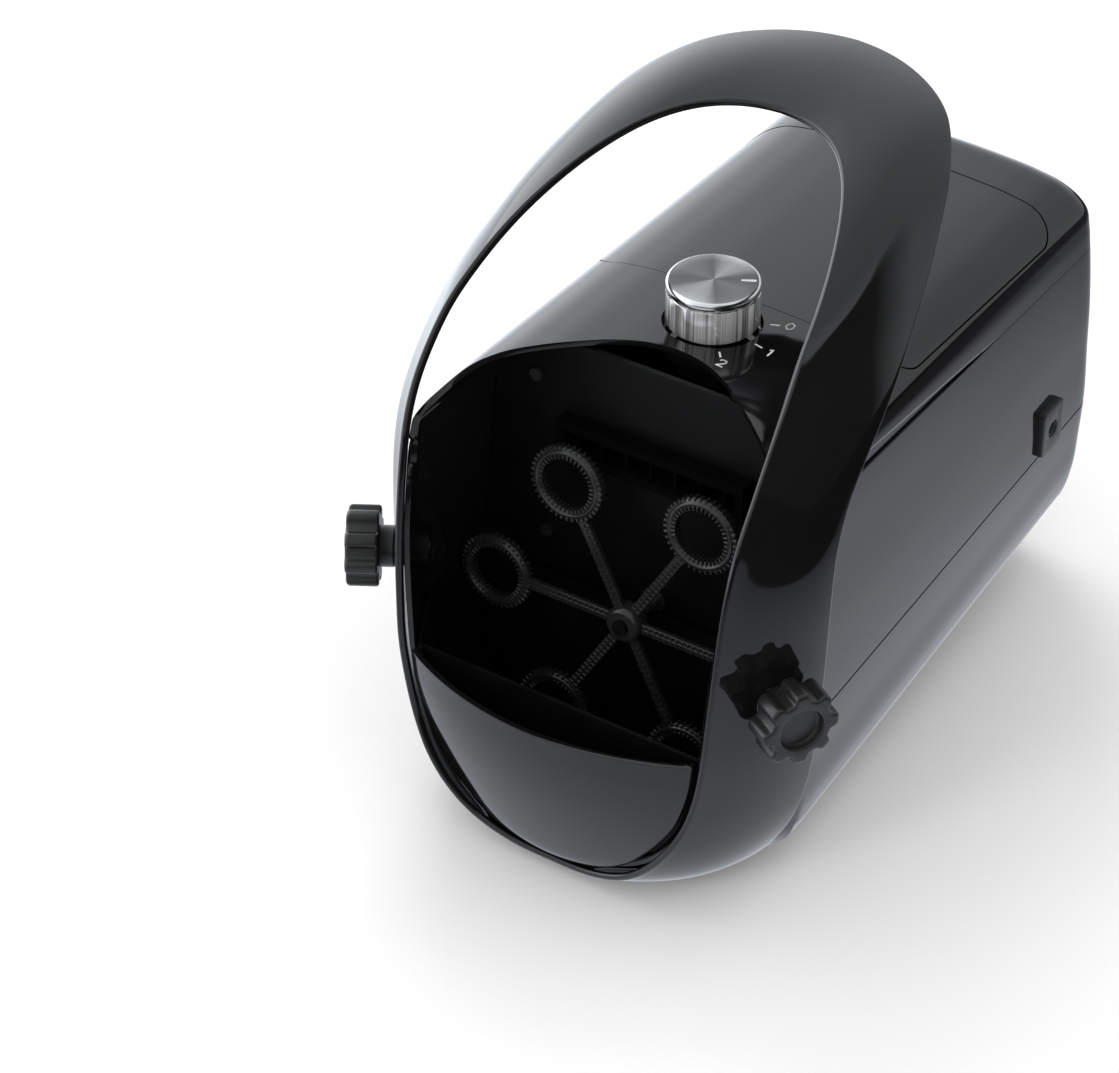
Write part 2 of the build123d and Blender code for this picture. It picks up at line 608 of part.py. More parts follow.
def wheel_pieces():
    """pieces laid out in the wheel frame"""
    axle = upright(AXLE_R, -40.0, 2.4) - upright(1.2, -8, 5)
    screw = upright(3.4, 4.6, 6.6) + upright(1.2, -6, 5)
    bush = upright(BUSH_R - 0.02, -31.0, -20.8) - upright(AXLE_R + 0.05, -40, 0)
    return {"wand_wheel": wand_wheel(), "wheel_axle": largest(axle),
            "wheel_screw": largest(screw), "axle_bush": largest(bush),
            "drive_gear": drive_gear(), "motor_pinion": motor_pinion(),
            "motor_shaft": largest(upright(MOTOR_SHAFT_R, -52, -33, MOTOR_X)),
            "gear_motor": gear_motor()}


# ------------------------------------------------------------------ fan
FAN_X, FAN_Z, FAN_Y0, FAN_Y1 = 20.0, 138.0, 90.0, 122.0
FAN_R = 38.0
BLADE_COUNT = 24


def fan_rod(radius, y0, y1):
    return along_y(radius, y0, y1, FAN_X, FAN_Z)


def fan_housing():
    left, right = -NOZZLE_X + 1, NOZZLE_X - 1
    outer = fan_rod(FAN_R, FAN_Y0, FAN_Y1)
    outer = outer + box(left, FAN_X + FAN_R, FAN_Y0, FAN_Y1, NOZZLE_Z0 - 2, NOZZLE_Z1)
    outer = outer + box(left, right, 84.2, FAN_Y0 + 1, NOZZLE_Z0, NOZZLE_Z1)
    inner = (fan_rod(FAN_R - 2, FAN_Y0 + 2, FAN_Y1 - 2)
             + box(left + 2, FAN_X + FAN_R - 2, FAN_Y0 + 2, FAN_Y1 - 2,
                   NOZZLE_Z0 + 1, NOZZLE_Z1 - 2)
             + box(left + 2, right - 2, 80, FAN_Y0 + 3, NOZZLE_Z0 + 2, NOZZLE_Z1 - 2))
    return largest(outer - inner - fan_rod(20.0, FAN_Y0 - 2, FAN_Y0 + 4)
                   - fan_rod(3.0, FAN_Y1 - 4, FAN_Y1 + 2))


def fan_impeller():
    impeller = fan_rod(31.0, FAN_Y1 - 6.5, FAN_Y1 - 4.5) + fan_rod(6.0, FAN_Y1 - 22, FAN_Y1 - 5)
    for k in range(BLADE_COUNT):
        blade = box(24.0, 31.0, FAN_Y0 + 6, FAN_Y1 - 5, -0.6, 0.6)
        blade = blade.moved(Location((0, 0, 0), (0, 8, 0)))
        turn = Location((FAN_X, 0, FAN_Z), (0, 360.0 * k / BLADE_COUNT, 0))
        impeller = impeller + blade.moved(turn)
    return largest(impeller - fan_rod(MOTOR_SHAFT_R, 80, FAN_Y1 - 4))


def fan_motor():
    return largest(fan_rod(13.5, FAN_Y1 + 0.2, FAN_Y1 + 30)
                   - fan_rod(MOTOR_SHAFT_R + 0.1, FAN_Y1 - 2, FAN_Y1 + 6))


# ------------------------------------------------------------------ dial and switch
DIAL_R, DIAL_H = 20.0, 20.0
DIAL_TOP_Z = 236.0
SWITCH_SHAFT_R = 3.0


def dial_rod(radius, z0, z1):
    return upright(radius, z0, z1, y=DIAL_Y)


def pointer(rise):
    """bar on the dial face, turned towards the figure 0"""
    bar = box(11.5, 17.6, -0.65, 0.65, DIAL_TOP_Z - 0.5, DIAL_TOP_Z + rise)
    return bar.moved(Location((0, DIAL_Y, 0), (0, 0, MARK_ANGLES[0])))


def dial_knob():
    top = DIAL_TOP_Z
    knob = (dial_rod(DIAL_R, top - DIAL_H, top - 4.4) + dial_rod(DIAL_R - 0.7, top - 4.6, top - 3.8)
            + dial_rod(DIAL_R, top - 3.9, top - 1.2))
    knob = knob + cone(DIAL_R, DIAL_R - 1.2, top - 1.2, top, y=DIAL_Y)
    return largest(knob - dial_rod(SWITCH_SHAFT_R, 200, top - 6) - pointer(1.0))


def rotary_switch():
    return largest(box(-10, 10, DIAL_Y - 10, DIAL_Y + 10, 190, 202) + dial_rod(4.5, 201, 210.5)
                   - dial_rod(SWITCH_SHAFT_R + 0.06, 202.5, 240))


def switch_nut():
    nut = extrude(Plane.XY.offset(207.6) * Pos(0, DIAL_Y) * RegularPolygon(6.2, 6), 2.4)
    return largest(nut - dial_rod(4.6, 200, 220))


# ------------------------------------------------------------------ electrics
CELL_X, CELL_R, CELL_Z = (-30, -10, 10, 30), 9.1, 34.0
BOARD_Z, BOARD_T = 70.0, 1.6
BOARD_HOLES = [(-42, 172), (42, 172), (-42, 228), (42, 228)]
# x, y, width, length, height of the blocks on the board
BOARD_BLOCKS = [(-30, 185, 14, 14, 6), (10, 180, 20, 12, 4), (-5, 210, 10, 16, 9),
                (30, 215, 12, 10, 8)]
LEAD_R = 1.3
LEADS = {
    "motor_lead": [(-30, 137.0, 84.5), (-32, 150, 86), (-34, 165, 82), (-30, 180, 79.8)],
    "fan_lead": [(20, 152.6, 138), (20, 168, 132), (22, 178, 110), (12, 181, 77.5)],
    "charge_lead": [(68.8, JACK_Y, JACK_Z), (58, 267, 98), (42, 256, 91), (32, 220, 81.5)],
    "switch_lead": [(0, 118.1, 196), (-6, 132, 190), (-20, 160, 140), (-30, 186, 79.0)],
    "battery_lead": [(-30, 230.8, 30), (-40, 238, 40), (-52, 232, 60), (-47.8, 215, 71)],
}


def jack_rod(radius, x0, x1):
    return along_x(radius, x0, x1, JACK_Y, JACK_Z)


def jack_bezel(shell):
    bezel = box(84.6, 89.4, JACK_Y - 9.5, JACK_Y + 9.5, JACK_Z - 12, JACK_Z + 12)
    bezel = fillet(bezel.edges().filter_by(Axis.X), 1.5)
    bezel = bezel - jack_rod(4.0, 60, 120) - jack_rod(4.3, 60, 87.2)
    # fitted to the outer face of the shell
    return largest(bezel - shell.moved(Location((0.02, 0, 0))))


def charge_jack():
    return largest(jack_rod(3.95, 70, 88.8) - jack_rod(2.8, 80, 100) + jack_rod(0.9, 79, 87))


def jack_nut():
    nut = extrude(Plane.YZ.offset(80.6) * Pos(JACK_Y, JACK_Z) * RegularPolygon(6.5, 6), 2.2)
    return largest(nut - jack_rod(4.0, 60, 120))


def battery_holder():
    holder = box(-42, 42, 156, 229, 17.2, 36) - box(-40, 40, 158.5, 226.5, 24.6, 60)
    for x in CELL_X:
        holder = holder - along_y(CELL_R + 0.1, 158.5, 226.5, x, CELL_Z)
    return largest(holder)


def circuit_board():
    top = BOARD_Z + BOARD_T
    board = box(-46, 46, 168, 232, BOARD_Z, top)
    for x, y, width, length, height in BOARD_BLOCKS:
        board = board + box(x - width / 2, x + width / 2, y - length / 2, y + length / 2,
                            top - 0.1, top + height)
    for x, y in BOARD_HOLES:
        board = board - upright(1.6, 60, 80, x, y)
    return largest(board)


def board_pillar(x, y):
    return (upright(3.0, 36.1, BOARD_Z - 0.1, x, y)
            + upright(1.5, BOARD_Z - 0.2, BOARD_Z + 2.5, x, y))


def lead(points):
    path = Edge.make_spline([Vector(*p) for p in points])
    start = Plane(origin=path @ 0, z_dir=path % 0)
    return largest(sweep(start * Circle(LEAD_R), path=Wire([path])))


# ------------------------------------------------------------------ feet and screws
def rubber_foot(x, y, z):
    return (cone(6.8, 8.2, 0, z - 0.02, x, y) - upright(3.4, -1, z - 2.6, x, y)
            - upright(1.7, -1, 40, x, y))


def foot_screw(x, y, z):
    return upright(3.0, z - 4.15, z - 2.62, x, y) + upright(1.5, z - 3, z + 3.2, x, y)


def casing_screw(x, y):
    return (upright(3.0, FLOOR_Z + 20.0, FLOOR_Z + 21.9, x, y)
            + upright(1.2, FLOOR_Z + 21, seam_low(y) + 12, x, y))


def bulkhead_screw(x, z):
    return (along_y(3.0, BULK_Y0 - 1.9, BULK_Y0 - 0.05, x, z)
            + along_y(1.6, BULK_Y0 - 1, BULK_Y1 + 3, x, z))


def group(make, places):
    return Compound(children=[largest(make(*place)) for place in places])


# ------------------------------------------------------------------ write all pieces
os.makedirs("parts", exist_ok=True)
figures_and_ticks = dial_marks()
shell = middle_shell()
pieces = {
    "top_cover": top_cover(figures_and_ticks),
    "top_panel": largest(panel_skin(1.4, -0.3)),
    "middle_shell": shell,
    "bottom_tub": bottom_tub(),
    "front_panel": front_panel(),
    "fluid_tank": fluid_tank(),
    "bulkhead": bulkhead(),
    "air_nozzle": air_nozzle(),
    "carry_bow": carry_bow(),
    "motor_bracket": motor_bracket(),
    "fan_housing": fan_housing(),
    "fan_impeller": fan_impeller(),
    "fan_shaft": largest(fan_rod(MOTOR_SHAFT_R, FAN_Y1 - 20, FAN_Y1 + 5)),
    "fan_motor": fan_motor(),
    "dial_knob": dial_knob(),
    "dial_pointer": largest(pointer(0.05)),
    "switch_shaft": largest(dial_rod(SWITCH_SHAFT_R, 203.0, DIAL_TOP_Z - 6.1)),
    "rotary_switch": rotary_switch(),
    "switch_nut": switch_nut(),
    "dial_marks": Compound(children=figures_and_ticks),
    "jack_bezel": jack_bezel(shell),
    "charge_jack": charge_jack(),
    "jack_nut": jack_nut(),
    "battery_cells": group(lambda x: along_y(CELL_R, 160, 225, x, CELL_Z),
                           [(x,) for x in CELL_X]),
    "battery_holder": battery_holder(),
    "circuit_board": circuit_board(),
    "board_pillars": group(board_pillar, BOARD_HOLES),
    "rubber_feet": group(rubber_foot, FEET),
    "foot_screws": group(foot_screw, FEET),
    "casing_screws": group(casing_screw, LOW_POSTS),
    "bulkhead_screws": group(bulkhead_screw, BULK_SCREWS),
}
for name, piece in clamp_screw_pieces().items():
    pieces[name + "_right"] = piece
    pieces[name + "_left"] = on_side(-1, piece)
for name, piece in wheel_pieces().items():
    pieces[name] = on_wheel(piece)
for name, points in LEADS.items():
    pieces[name] = lead(points)
for name, piece in pieces.items():
    save(name, piece)
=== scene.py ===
"""A tabletop machine in a glossy black casing: a ring wheel turns in the open front, a dial and an
inset panel lie on top, and a broad carrying bow with two star knobs wraps round the front.

The drawing is in millimetres: x to the right, y to the rear, z up, the floor at z = 0. The scene
is in metres, with y counted from the pivot of the bow.
"""
import bpy
import bmesh
import math
import numpy as np
from contextlib import contextmanager
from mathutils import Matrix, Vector
from mathutils.bvhtree import BVHTree


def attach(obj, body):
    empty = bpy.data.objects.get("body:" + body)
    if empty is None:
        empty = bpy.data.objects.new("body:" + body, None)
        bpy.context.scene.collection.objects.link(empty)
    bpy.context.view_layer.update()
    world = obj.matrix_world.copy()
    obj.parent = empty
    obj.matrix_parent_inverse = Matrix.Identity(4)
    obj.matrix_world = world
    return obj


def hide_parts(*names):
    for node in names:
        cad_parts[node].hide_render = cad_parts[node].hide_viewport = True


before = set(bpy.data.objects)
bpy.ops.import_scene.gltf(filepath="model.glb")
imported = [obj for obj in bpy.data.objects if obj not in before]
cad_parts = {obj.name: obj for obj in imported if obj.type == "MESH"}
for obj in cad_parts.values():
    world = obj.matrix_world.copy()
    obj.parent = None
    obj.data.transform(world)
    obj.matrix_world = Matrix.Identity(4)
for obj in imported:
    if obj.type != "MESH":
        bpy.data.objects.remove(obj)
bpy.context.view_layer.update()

# ---------------------------------------------------------------- driving dimensions
MM = 0.001
PIVOT_Y = 141.15                  # y of the bow pivot, the scene's y = 0
WALL = 2.6
TOP_Z, FLOOR_Z = 217.2, 7.5       # top and underside of the casing, at its front
REAR_Y, REAR_ROUND = 313.9, 16    # rear wall and the rounding in front of it
TOP_X, LOW_X = 84.0, 91.0         # half widths at the upper and the lower joint
UPPER_JOINT, LOWER_JOINT = 7, 10  # outline columns where the casing parts meet
CENTRE = np.array([0.0, 105.0])   # x, z that outline angles are taken round
BOW_THICK, BOW_GAP = 3.5, 1.3
DIAL_Y, DIAL_R, DIAL_TOP_Z = 107.5, 20.0, 236.0
MARK_ANGLE, MARK_STEP = 28.0, 40.0           # degrees: first mark of the dial, and to the next
PANEL_X, PANEL_Y0, PANEL_Y1, PANEL_R = 77.8, 130.0, 276.0, 16
WHEEL_Y, WHEEL_Z, WHEEL_TILT = 43.0, 97.6, 5.0
SOCKET_Y, SOCKET_Z = 262, 103     # charge socket in the right side

# Carrying bow, right half from bottom middle to top middle:
# front rim (x, y, z), rear rim (x, y, z), outward bulge
BOW = [
    ((0, -17, 6), (0, 22, 4.5), 0.0),
    ((20, -17.5, 7.5), (30, 22.5, 4.5), 1.0),
    ((38, -19.5, 16), (57, 24, 5.2), 3.5),
    ((50, -21, 27.5), (74, 28, 12.5), 4.5),
    ((59.8, -21, 41), (86, 30, 28.5), 4.0),
    ((67.3, -19.3, 56), (94, 31, 47), 3.0),
    ((72.5, -18.5, 75), (99.8, 30.7, 75), 2.2),
    ((75.5, -18.5, 95.5), (102.3, 29.5, 97), 1.8),
    ((76.6, -17.6, 116), (104, 29, 120), 1.6),
    ((77.6, -15.9, 136), (105, 28.8, 143), 1.6),
    ((78.3, -13, 160), (105.5, 29.2, 165), 1.6),
    ((79.1, -9.5, 180), (104.8, 33, 185), 1.6),
    ((80.1, -3.9, 199), (103.7, 42, 201), 1.6),
    ((80.8, 4.3, 214), (103, 56.5, 216), 1.7),
    ((80.3, 15, 228), (101.8, 73, 229), 1.8),
    ((79, 27, 240.5), (99.5, 88, 240), 2.0),
    ((76.5, 40, 250.5), (96, 104, 250.5), 2.1),
    ((73.3, 55, 260), (91.7, 122, 261.5), 2.3),
    ((69.5, 72, 268), (86, 140, 271), 2.5),
    ((64, 90, 275.5), (79, 160, 280.3), 2.7),
    ((56, 110, 282.7), (69.5, 179, 286.8), 2.9),
    ((46, 129, 288), (58, 196, 290.6), 3.1),
    ((32, 146, 291), (40, 211, 292.7), 3.3),
    ((16, 155.5, 292), (20, 220.5, 293.6), 3.4),
    ((0, 158, 292.3), (0, 223.5, 294), 3.5),
]
BOW_FRONT, BOW_REAR, BOW_BULGE = (np.array([row[k] for row in BOW], float) for k in range(3))

# Front edge of the casing seen from the side: (z, y)
FRONT_EDGE = np.array([
    (-60, -14.0), (60, -14.0), (95, -14.2), (116, -13.9), (136, -12.6), (152, -10.8),
    (165, -8.6), (176, -5.2), (185, -0.6), (193, 6.4), (201, 16), (209, 27),
    (214.5, 40), (224, 62), (300, 70)], float)
# Mouth cut into the front of the top cover, seen from above: (x, y)
MOUTH = [(0, 80), (9, 79.2), (18, 76.6), (30, 70), (43, 60.3), (56, 50), (66, 41.5), (74, 32.5),
         (79, 22)]
# Front apron: (z, half width, reach forwards)
APRON = [(11.6, 9, 17.4), (13, 18, 18.8), (16.5, 28, 20.6), (22.5, 37.4, 22.6),
         (31.5, 46.4, 25.2), (44, 55.6, 28.4), (58, 62.4, 31.4), (76, 67.6, 34.0),
         (91.5, 69.6, 35.2)]


# ---------------------------------------------------------------- shader node helpers
def node(tree, kind, inputs=(), **settings):
    """Add a shader node; inputs (a dict, or a list in socket order) hold sockets or values."""
    made = tree.nodes.new("ShaderNode" + kind)
    for name, value in settings.items():
        setattr(made, name, value)
    for key, value in inputs.items() if isinstance(inputs, dict) else enumerate(inputs):
        if isinstance(value, bpy.types.NodeSocket):
            tree.links.new(value, made.inputs[key])
        else:
            made.inputs[key].default_value = value
    return made


def new_material(name, values):
    """Material with one Principled shader; values set its inputs by name."""
    material = bpy.data.materials.new(name)
    material.use_nodes = True
    tree = material.node_tree
    tree.nodes.clear()
    output = node(tree, "OutputMaterial")
    shader = node(tree, "BsdfPrincipled", values)
    tree.links.new(shader.outputs[0], output.inputs[0])
    return material, tree, shader


def ramp(tree, source, stops):
    """Colour ramp; stops are (position, grey level or colour)."""
    made = node(tree, "ValToRGB", [source])
    elements = made.color_ramp.elements
    while len(elements) > 1:
        elements.remove(elements[-1])
    for k, (position, colour) in enumerate(stops):
        element = elements.new(position) if k else elements[0]
        element.position = position
        element.color = (colour if isinstance(colour, tuple) else (colour,) * 3) + (1,)
    return made.outputs[0]


def remap(tree, source, old, new):
    return node(tree, "MapRange", [source, *old, *new]).outputs[0]


def calc(tree, operation, *values):
    return node(tree, "Math", values, operation=operation).outputs[0]


def noise(tree, scale, detail=3.0, rough=0.5, coords=None):
    coords = coords or node(tree, "TexCoord").outputs["Object"]
    values = {"Scale": scale, "Detail": detail, "Roughness": rough, "Vector": coords}
    return node(tree, "TexNoise", values).outputs["Fac"]


def add_bump(tree, shader, height, strength, distance):
    values = {"Strength": strength, "Distance": distance, "Height": height}
    tree.links.new(node(tree, "Bump", values).outputs[0], shader.inputs["Normal"])


def multiply_colour(tree, first, second):
    return node(tree, "MixRGB", [1.0, first, second], blend_type="MULTIPLY").outputs[0]


# ---------------------------------------------------------------- materials
NOISE_SPAN = (0.3, 0.7)           # the part of a noise's values that is spread over a range


def mottled(tree, shader, colour_noise, rough_noise, dark, light, rough):
    """Let colour and roughness wander between two values each."""
    colour = ramp(tree, colour_noise, list(zip(NOISE_SPAN, (dark, light))))
    tree.links.new(colour, shader.inputs["Base Color"])
    tree.links.new(remap(tree, rough_noise, NOISE_SPAN, rough), shader.inputs["Roughness"])


def plastic(name, dark, light, rough, colour_scale, rough_scale, bump_scale=0, bump=0.0,
            bump_distance=0.0002, coat=0.0, ior=1.5):
    material, tree, shader = new_material(
        name, {"IOR": ior, "Coat Weight": coat, "Coat Roughness": 0.03})
    mottled(tree, shader, noise(tree, colour_scale), noise(tree, rough_scale, detail=4.0),
            dark, light, rough)
    if bump_scale:
        add_bump(tree, shader, noise(tree, bump_scale, detail=2.0), bump, bump_distance)
    return material


def metal(name, dark, light, rough, scale=80.0):
    material, tree, shader = new_material(name, {"Metallic": 1.0})
    mottled(tree, shader, noise(tree, scale, detail=4.0), noise(tree, scale * 2, detail=4.0),
            dark, light, rough)
    return material


def dial_coords(tree):
    """Object coordinates counted from the axis of the dial."""
    return node(tree, "Mapping", {0: node(tree, "TexCoord").outputs["Object"],
                                  "Location": (0, -(DIAL_Y - PIVOT_Y) / 1000, 0)}).outputs[0]


def dial_top():
    """Face turned on a lathe: fine rings, and painted highlights: two light fans painted into the
    colour at the far and the near side.
    """
    material, tree, shader = new_material("spun_aluminium", {"Metallic": 1.0, "Roughness": 0.34})
    coords = dial_coords(tree)
    axes = node(tree, "SeparateXYZ", [coords]).outputs
    angle = calc(tree, "ARCTAN2", axes[1], axes[0])
    turn = calc(tree, "MULTIPLY_ADD", angle, 1 / (2 * math.pi), 0.5)      # 0 to 1 round the dial
    # painted highlight: light and dark set only by the angle round the dial, standing in for the
    # sheen of the turned face
    painted_sheen_fans = ramp(tree, turn, [
        (0.0, .50), (0.07, .36), (0.125, .40), (0.17, .80), (0.235, .90), (0.30, .74),
        (0.345, .33), (0.42, .42), (0.5, .48), (0.58, .34), (0.62, .36), (0.67, .78),
        (0.735, .93), (0.79, .72), (0.84, .34), (0.92, .44), (1.0, .50)])
    flat = node(tree, "VectorMath", [coords, (1, 1, 0)], operation="MULTIPLY").outputs[0]
    radius = node(tree, "VectorMath", [flat], operation="LENGTH").outputs["Value"]
    radial = node(tree, "CombineXYZ", [radius]).outputs[0]
    rings = noise(tree, 9000.0, detail=1.0, coords=radial)
    shade = ramp(tree, rings, [(0.3, 0.86), (0.7, 1.0)])
    tree.links.new(multiply_colour(tree, painted_sheen_fans, shade), shader.inputs["Base Color"])
    tree.links.new(remap(tree, rings, NOISE_SPAN, (0.30, 0.40)), shader.inputs["Roughness"])
    add_bump(tree, shader, rings, strength=0.12, distance=0.0001)
    return material


def dial_side():
    """Polished wall: painted reflections, dark and light streaks drawn out along the height."""
    material, tree, shader = new_material("polished_aluminium", {"Metallic": 0.6})
    drawn_out = node(tree, "VectorMath", [dial_coords(tree), (1, 1, 0.02)], operation="MULTIPLY")
    painted_reflection_streaks = noise(tree, 120.0, detail=3.0, rough=0.55, coords=drawn_out.outputs[0])
    # painted reflection: the streak pattern sets the colour from near black to near white, as
    # mirrored surroundings would
    colour = ramp(tree, painted_reflection_streaks, [(0.30, 0.10), (0.38, 0.45), (0.44, 0.95), (0.49, 0.28),
                                  (0.54, 0.90), (0.60, 0.16), (0.66, 0.75), (0.74, 0.3)])
    tree.links.new(colour, shader.inputs["Base Color"])
    tree.links.new(remap(tree, painted_reflection_streaks, NOISE_SPAN, (0.12, 0.22)), shader.inputs["Roughness"])
    return material


MATERIALS = {
    "gloss": plastic("gloss_black", dark=(0.0042, 0.0042, 0.0046), light=(0.0062, 0.0062, 0.0066),
                     rough=(0.035, 0.075), colour_scale=18.0, rough_scale=30.0,
                     bump_scale=55.0, bump=0.05, bump_distance=0.0003, coat=0.15),
    "inner": plastic("inner_black", dark=(0.0012, 0.0012, 0.0013), light=(0.0022, 0.0022, 0.0022),
                     rough=(0.42, 0.55), colour_scale=30.0, rough_scale=60.0,
                     bump_scale=300.0, bump=0.06, ior=1.28),
    "deep": plastic("deep_black", dark=(0.0008, 0.0008, 0.0008), light=(0.0014, 0.0014, 0.0014),
                    rough=(0.7, 0.85), colour_scale=30.0, rough_scale=60.0, ior=1.15),
    "satin": plastic("satin_black", dark=(0.009, 0.009, 0.0095), light=(0.014, 0.014, 0.014),
                     rough=(0.27, 0.38), colour_scale=60.0, rough_scale=120.0,
                     bump_scale=900.0, bump=0.12),
    "wheel": plastic("wheel_black", dark=(0.012, 0.012, 0.0125), light=(0.018, 0.018, 0.018),
                     rough=(0.15, 0.25), colour_scale=60.0, rough_scale=120.0,
                     bump_scale=600.0, bump=0.08),
    "rubber": plastic("rubber_black", dark=(0.012, 0.012, 0.012), light=(0.022, 0.022, 0.021),
                      rough=(0.62, 0.8), colour_scale=60.0, rough_scale=160.0,
                      bump_scale=1200.0, bump=0.25),
    "white": plastic("white_print", dark=(0.74, 0.74, 0.75), light=(0.86, 0.86, 0.86),
                     rough=(0.4, 0.55), colour_scale=200.0, rough_scale=300.0),
    "nylon": plastic("nylon_natural", dark=(0.62, 0.6, 0.54), light=(0.72, 0.7, 0.63),
                     rough=(0.4, 0.5), colour_scale=60.0, rough_scale=150.0,
                     bump_scale=500.0, bump=0.1),
    "steel": metal("zinc_steel", dark=0.55, light=0.68, rough=(0.25, 0.4)),
    "dark": metal("black_oxide", dark=0.03, light=0.05, rough=(0.3, 0.4)),
    "brass": metal("brass", dark=(0.62, 0.45, 0.2), light=(0.75, 0.57, 0.28), rough=(0.22, 0.35)),
    "wrap": plastic("cell_wrap", dark=(0.02, 0.16, 0.30), light=(0.03, 0.22, 0.38),
                    rough=(0.25, 0.35), colour_scale=40.0, rough_scale=90.0),
    "board": plastic("board_green", dark=(0.01, 0.10, 0.035), light=(0.02, 0.16, 0.055),
                     rough=(0.3, 0.45), colour_scale=150.0, rough_scale=200.0),
    "lead": plastic("lead_red", dark=(0.35, 0.02, 0.015), light=(0.5, 0.035, 0.02),
                    rough=(0.35, 0.45), colour_scale=80.0, rough_scale=90.0),
    "dial_top": dial_top(),
    "dial_side": dial_side(),
    "rim": metal("polished_rim", dark=0.86, light=0.94, rough=(0.16, 0.22), scale=40.0),
}


# ---------------------------------------------------------------- object helpers
# A "mesh" below is a pair: vertices in drawing coordinates, and faces.
def object_from(name, mesh):
    points = np.array(mesh[0], float)
    points[:, 1] -= PIVOT_Y
    data = bpy.data.meshes.new(name)
    data.from_pydata([tuple(p) for p in points * MM], [],
                     [tuple(int(i) for i in face) for face in mesh[1]])
    made = bpy.data.objects.new(name, data)
    bpy.context.scene.collection.objects.link(made)
    return made


def shade_smooth(data):
    data.polygons.foreach_set("use_smooth", np.ones(len(data.polygons), bool))


def add_piece(name, mesh, finish, replaced=None, body="casing", smooth=True, materials=None,
              face_materials=None):
    """Object riding on a body; replaced names the CAD node it stands for."""
    piece = object_from(name, mesh)
    data = piece.data
    data.validate()
    for material in materials or [MATERIALS[finish]]:
        data.materials.append(material)
    if face_materials is not None:
        data.polygons.foreach_set("material_index", np.array(face_materials, np.int32))
    if smooth:
        shade_smooth(data)
    data.update()
    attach(piece, body)
    if replaced:
        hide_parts(replaced)
    return piece


@contextmanager
def edit(piece):
    """Open the mesh of a piece as a bmesh and write it back."""
    bm = bmesh.new()
    bm.from_mesh(piece.data)
    yield bm
    bm.to_mesh(piece.data)
    bm.free()


def outward(piece):
    with edit(piece) as bm:
        bmesh.ops.remove_doubles(bm, verts=bm.verts, dist=1e-6)
        bmesh.ops.recalc_face_normals(bm, faces=bm.faces)


def sharp(piece, degrees=35.0):
    """Smooth shading, with hard edges where faces meet at more than this angle."""
    shade_smooth(piece.data)
    limit = math.radians(degrees)
    with edit(piece) as bm:
        for edge in bm.edges:
            edge.smooth = not (len(edge.link_faces) == 2 and edge.calc_face_angle(0.0) > limit)


def solid_piece(name, mesh, finish, replaced=None, body="casing", crease=35.0, **materials):
    piece = add_piece(name, mesh, finish, replaced, body, **materials)
    outward(piece)
    sharp(piece, crease)


def solidify(piece, thickness):
    """Thicken an open sheet inwards."""
    modifier = piece.modifiers.new("solid", "SOLIDIFY")
    modifier.thickness = thickness * MM
    modifier.offset = -1.0


def bevel(piece, width):
    modifier = piece.modifiers.new("bevel", "BEVEL")
    modifier.width = width * MM
    modifier.segments = 4
    modifier.limit_method = "ANGLE"
    modifier.angle_limit = math.radians(50.0)


def bake(piece):
    """Put the modifiers of a piece into its mesh."""
    graph = bpy.context.evaluated_depsgraph_get()
    graph.update()
    data = bpy.data.meshes.new_from_object(
        piece.evaluated_get(graph), preserve_all_data_layers=True, depsgraph=graph)
    piece.modifiers.clear()
    old = piece.data
    piece.data = data
    data.name = piece.name
    bpy.data.meshes.remove(old)


def cut(piece, openings):
    """Cut closed meshes out of a piece."""
    cutters = [object_from("cutter", mesh) for mesh in openings]
    for cutter in cutters:
        outward(cutter)
        modifier = piece.modifiers.new("cut", "BOOLEAN")
        modifier.operation = "DIFFERENCE"
        modifier.solver = "EXACT"
        modifier.object = cutter
    bake(piece)
    for cutter in cutters:
        data = cutter.data
        bpy.data.objects.remove(cutter)
        bpy.data.meshes.remove(data)


# ---------------------------------------------------------------- shape helpers
def arc(cx, cy, radius, start, end, count):
    return [(cx + radius * math.cos(a), cy + radius * math.sin(a))
            for a in np.radians(np.linspace(start, end, count))]


def circle(cx, cy, radius, count):
    return [(cx + radius * math.cos(2 * math.pi * k / count),
             cy + radius * math.sin(2 * math.pi * k / count)) for k in range(count)]


def rounded_rect(x0, x1, y0, y1, radius, count):
    corners = ((x1 - radius, y1 - radius), (x0 + radius, y1 - radius),
               (x0 + radius, y0 + radius), (x1 - radius, y0 + radius))
    return [point for k, (cx, cy) in enumerate(corners)
            for point in arc(cx, cy, radius, 90 * k, 90 * k + 90, count)]


def turned(points, degrees):
    """Points turned about the middle of the dial, from polar direction 0."""
    c, s = math.cos(math.radians(degrees)), math.sin(math.radians(degrees))
    return [(c * x - s * y, DIAL_Y + s * x + c * y) for x, y in points]


def prism(points, start, end, axis="z"):
    """Closed prism over an outline, running along an axis."""
    def place(a, b, h):
        return {"z": (a, b, h), "y": (a, h, b), "x": (h, a, b)}[axis]
    n = len(points)
    verts = [place(a, b, h) for h in (start, end) for a, b in points]
    faces = [(i, (i + 1) % n, n + (i + 1) % n, n + i) for i in range(n)]
    return verts, faces + [tuple(range(n - 1, -1, -1)), tuple(range(n, 2 * n))]


def lathe(profile, count, place):
    """Turn (radius, height) pairs; a radius may be a function of the angle."""
    verts, faces = [], []
    for radius, h in profile:
        for k in range(count):
            a = 2 * math.pi * k / count
            r = radius(a) if callable(radius) else radius
            verts.append(place(r * math.cos(a), r * math.sin(a), h))
    for j in range(len(profile) - 1):
        low, high = j * count, (j + 1) * count
        for k in range(count):
            n = (k + 1) % count
            faces.append((low + k, low + n, high + n, high + k))
    return verts, faces


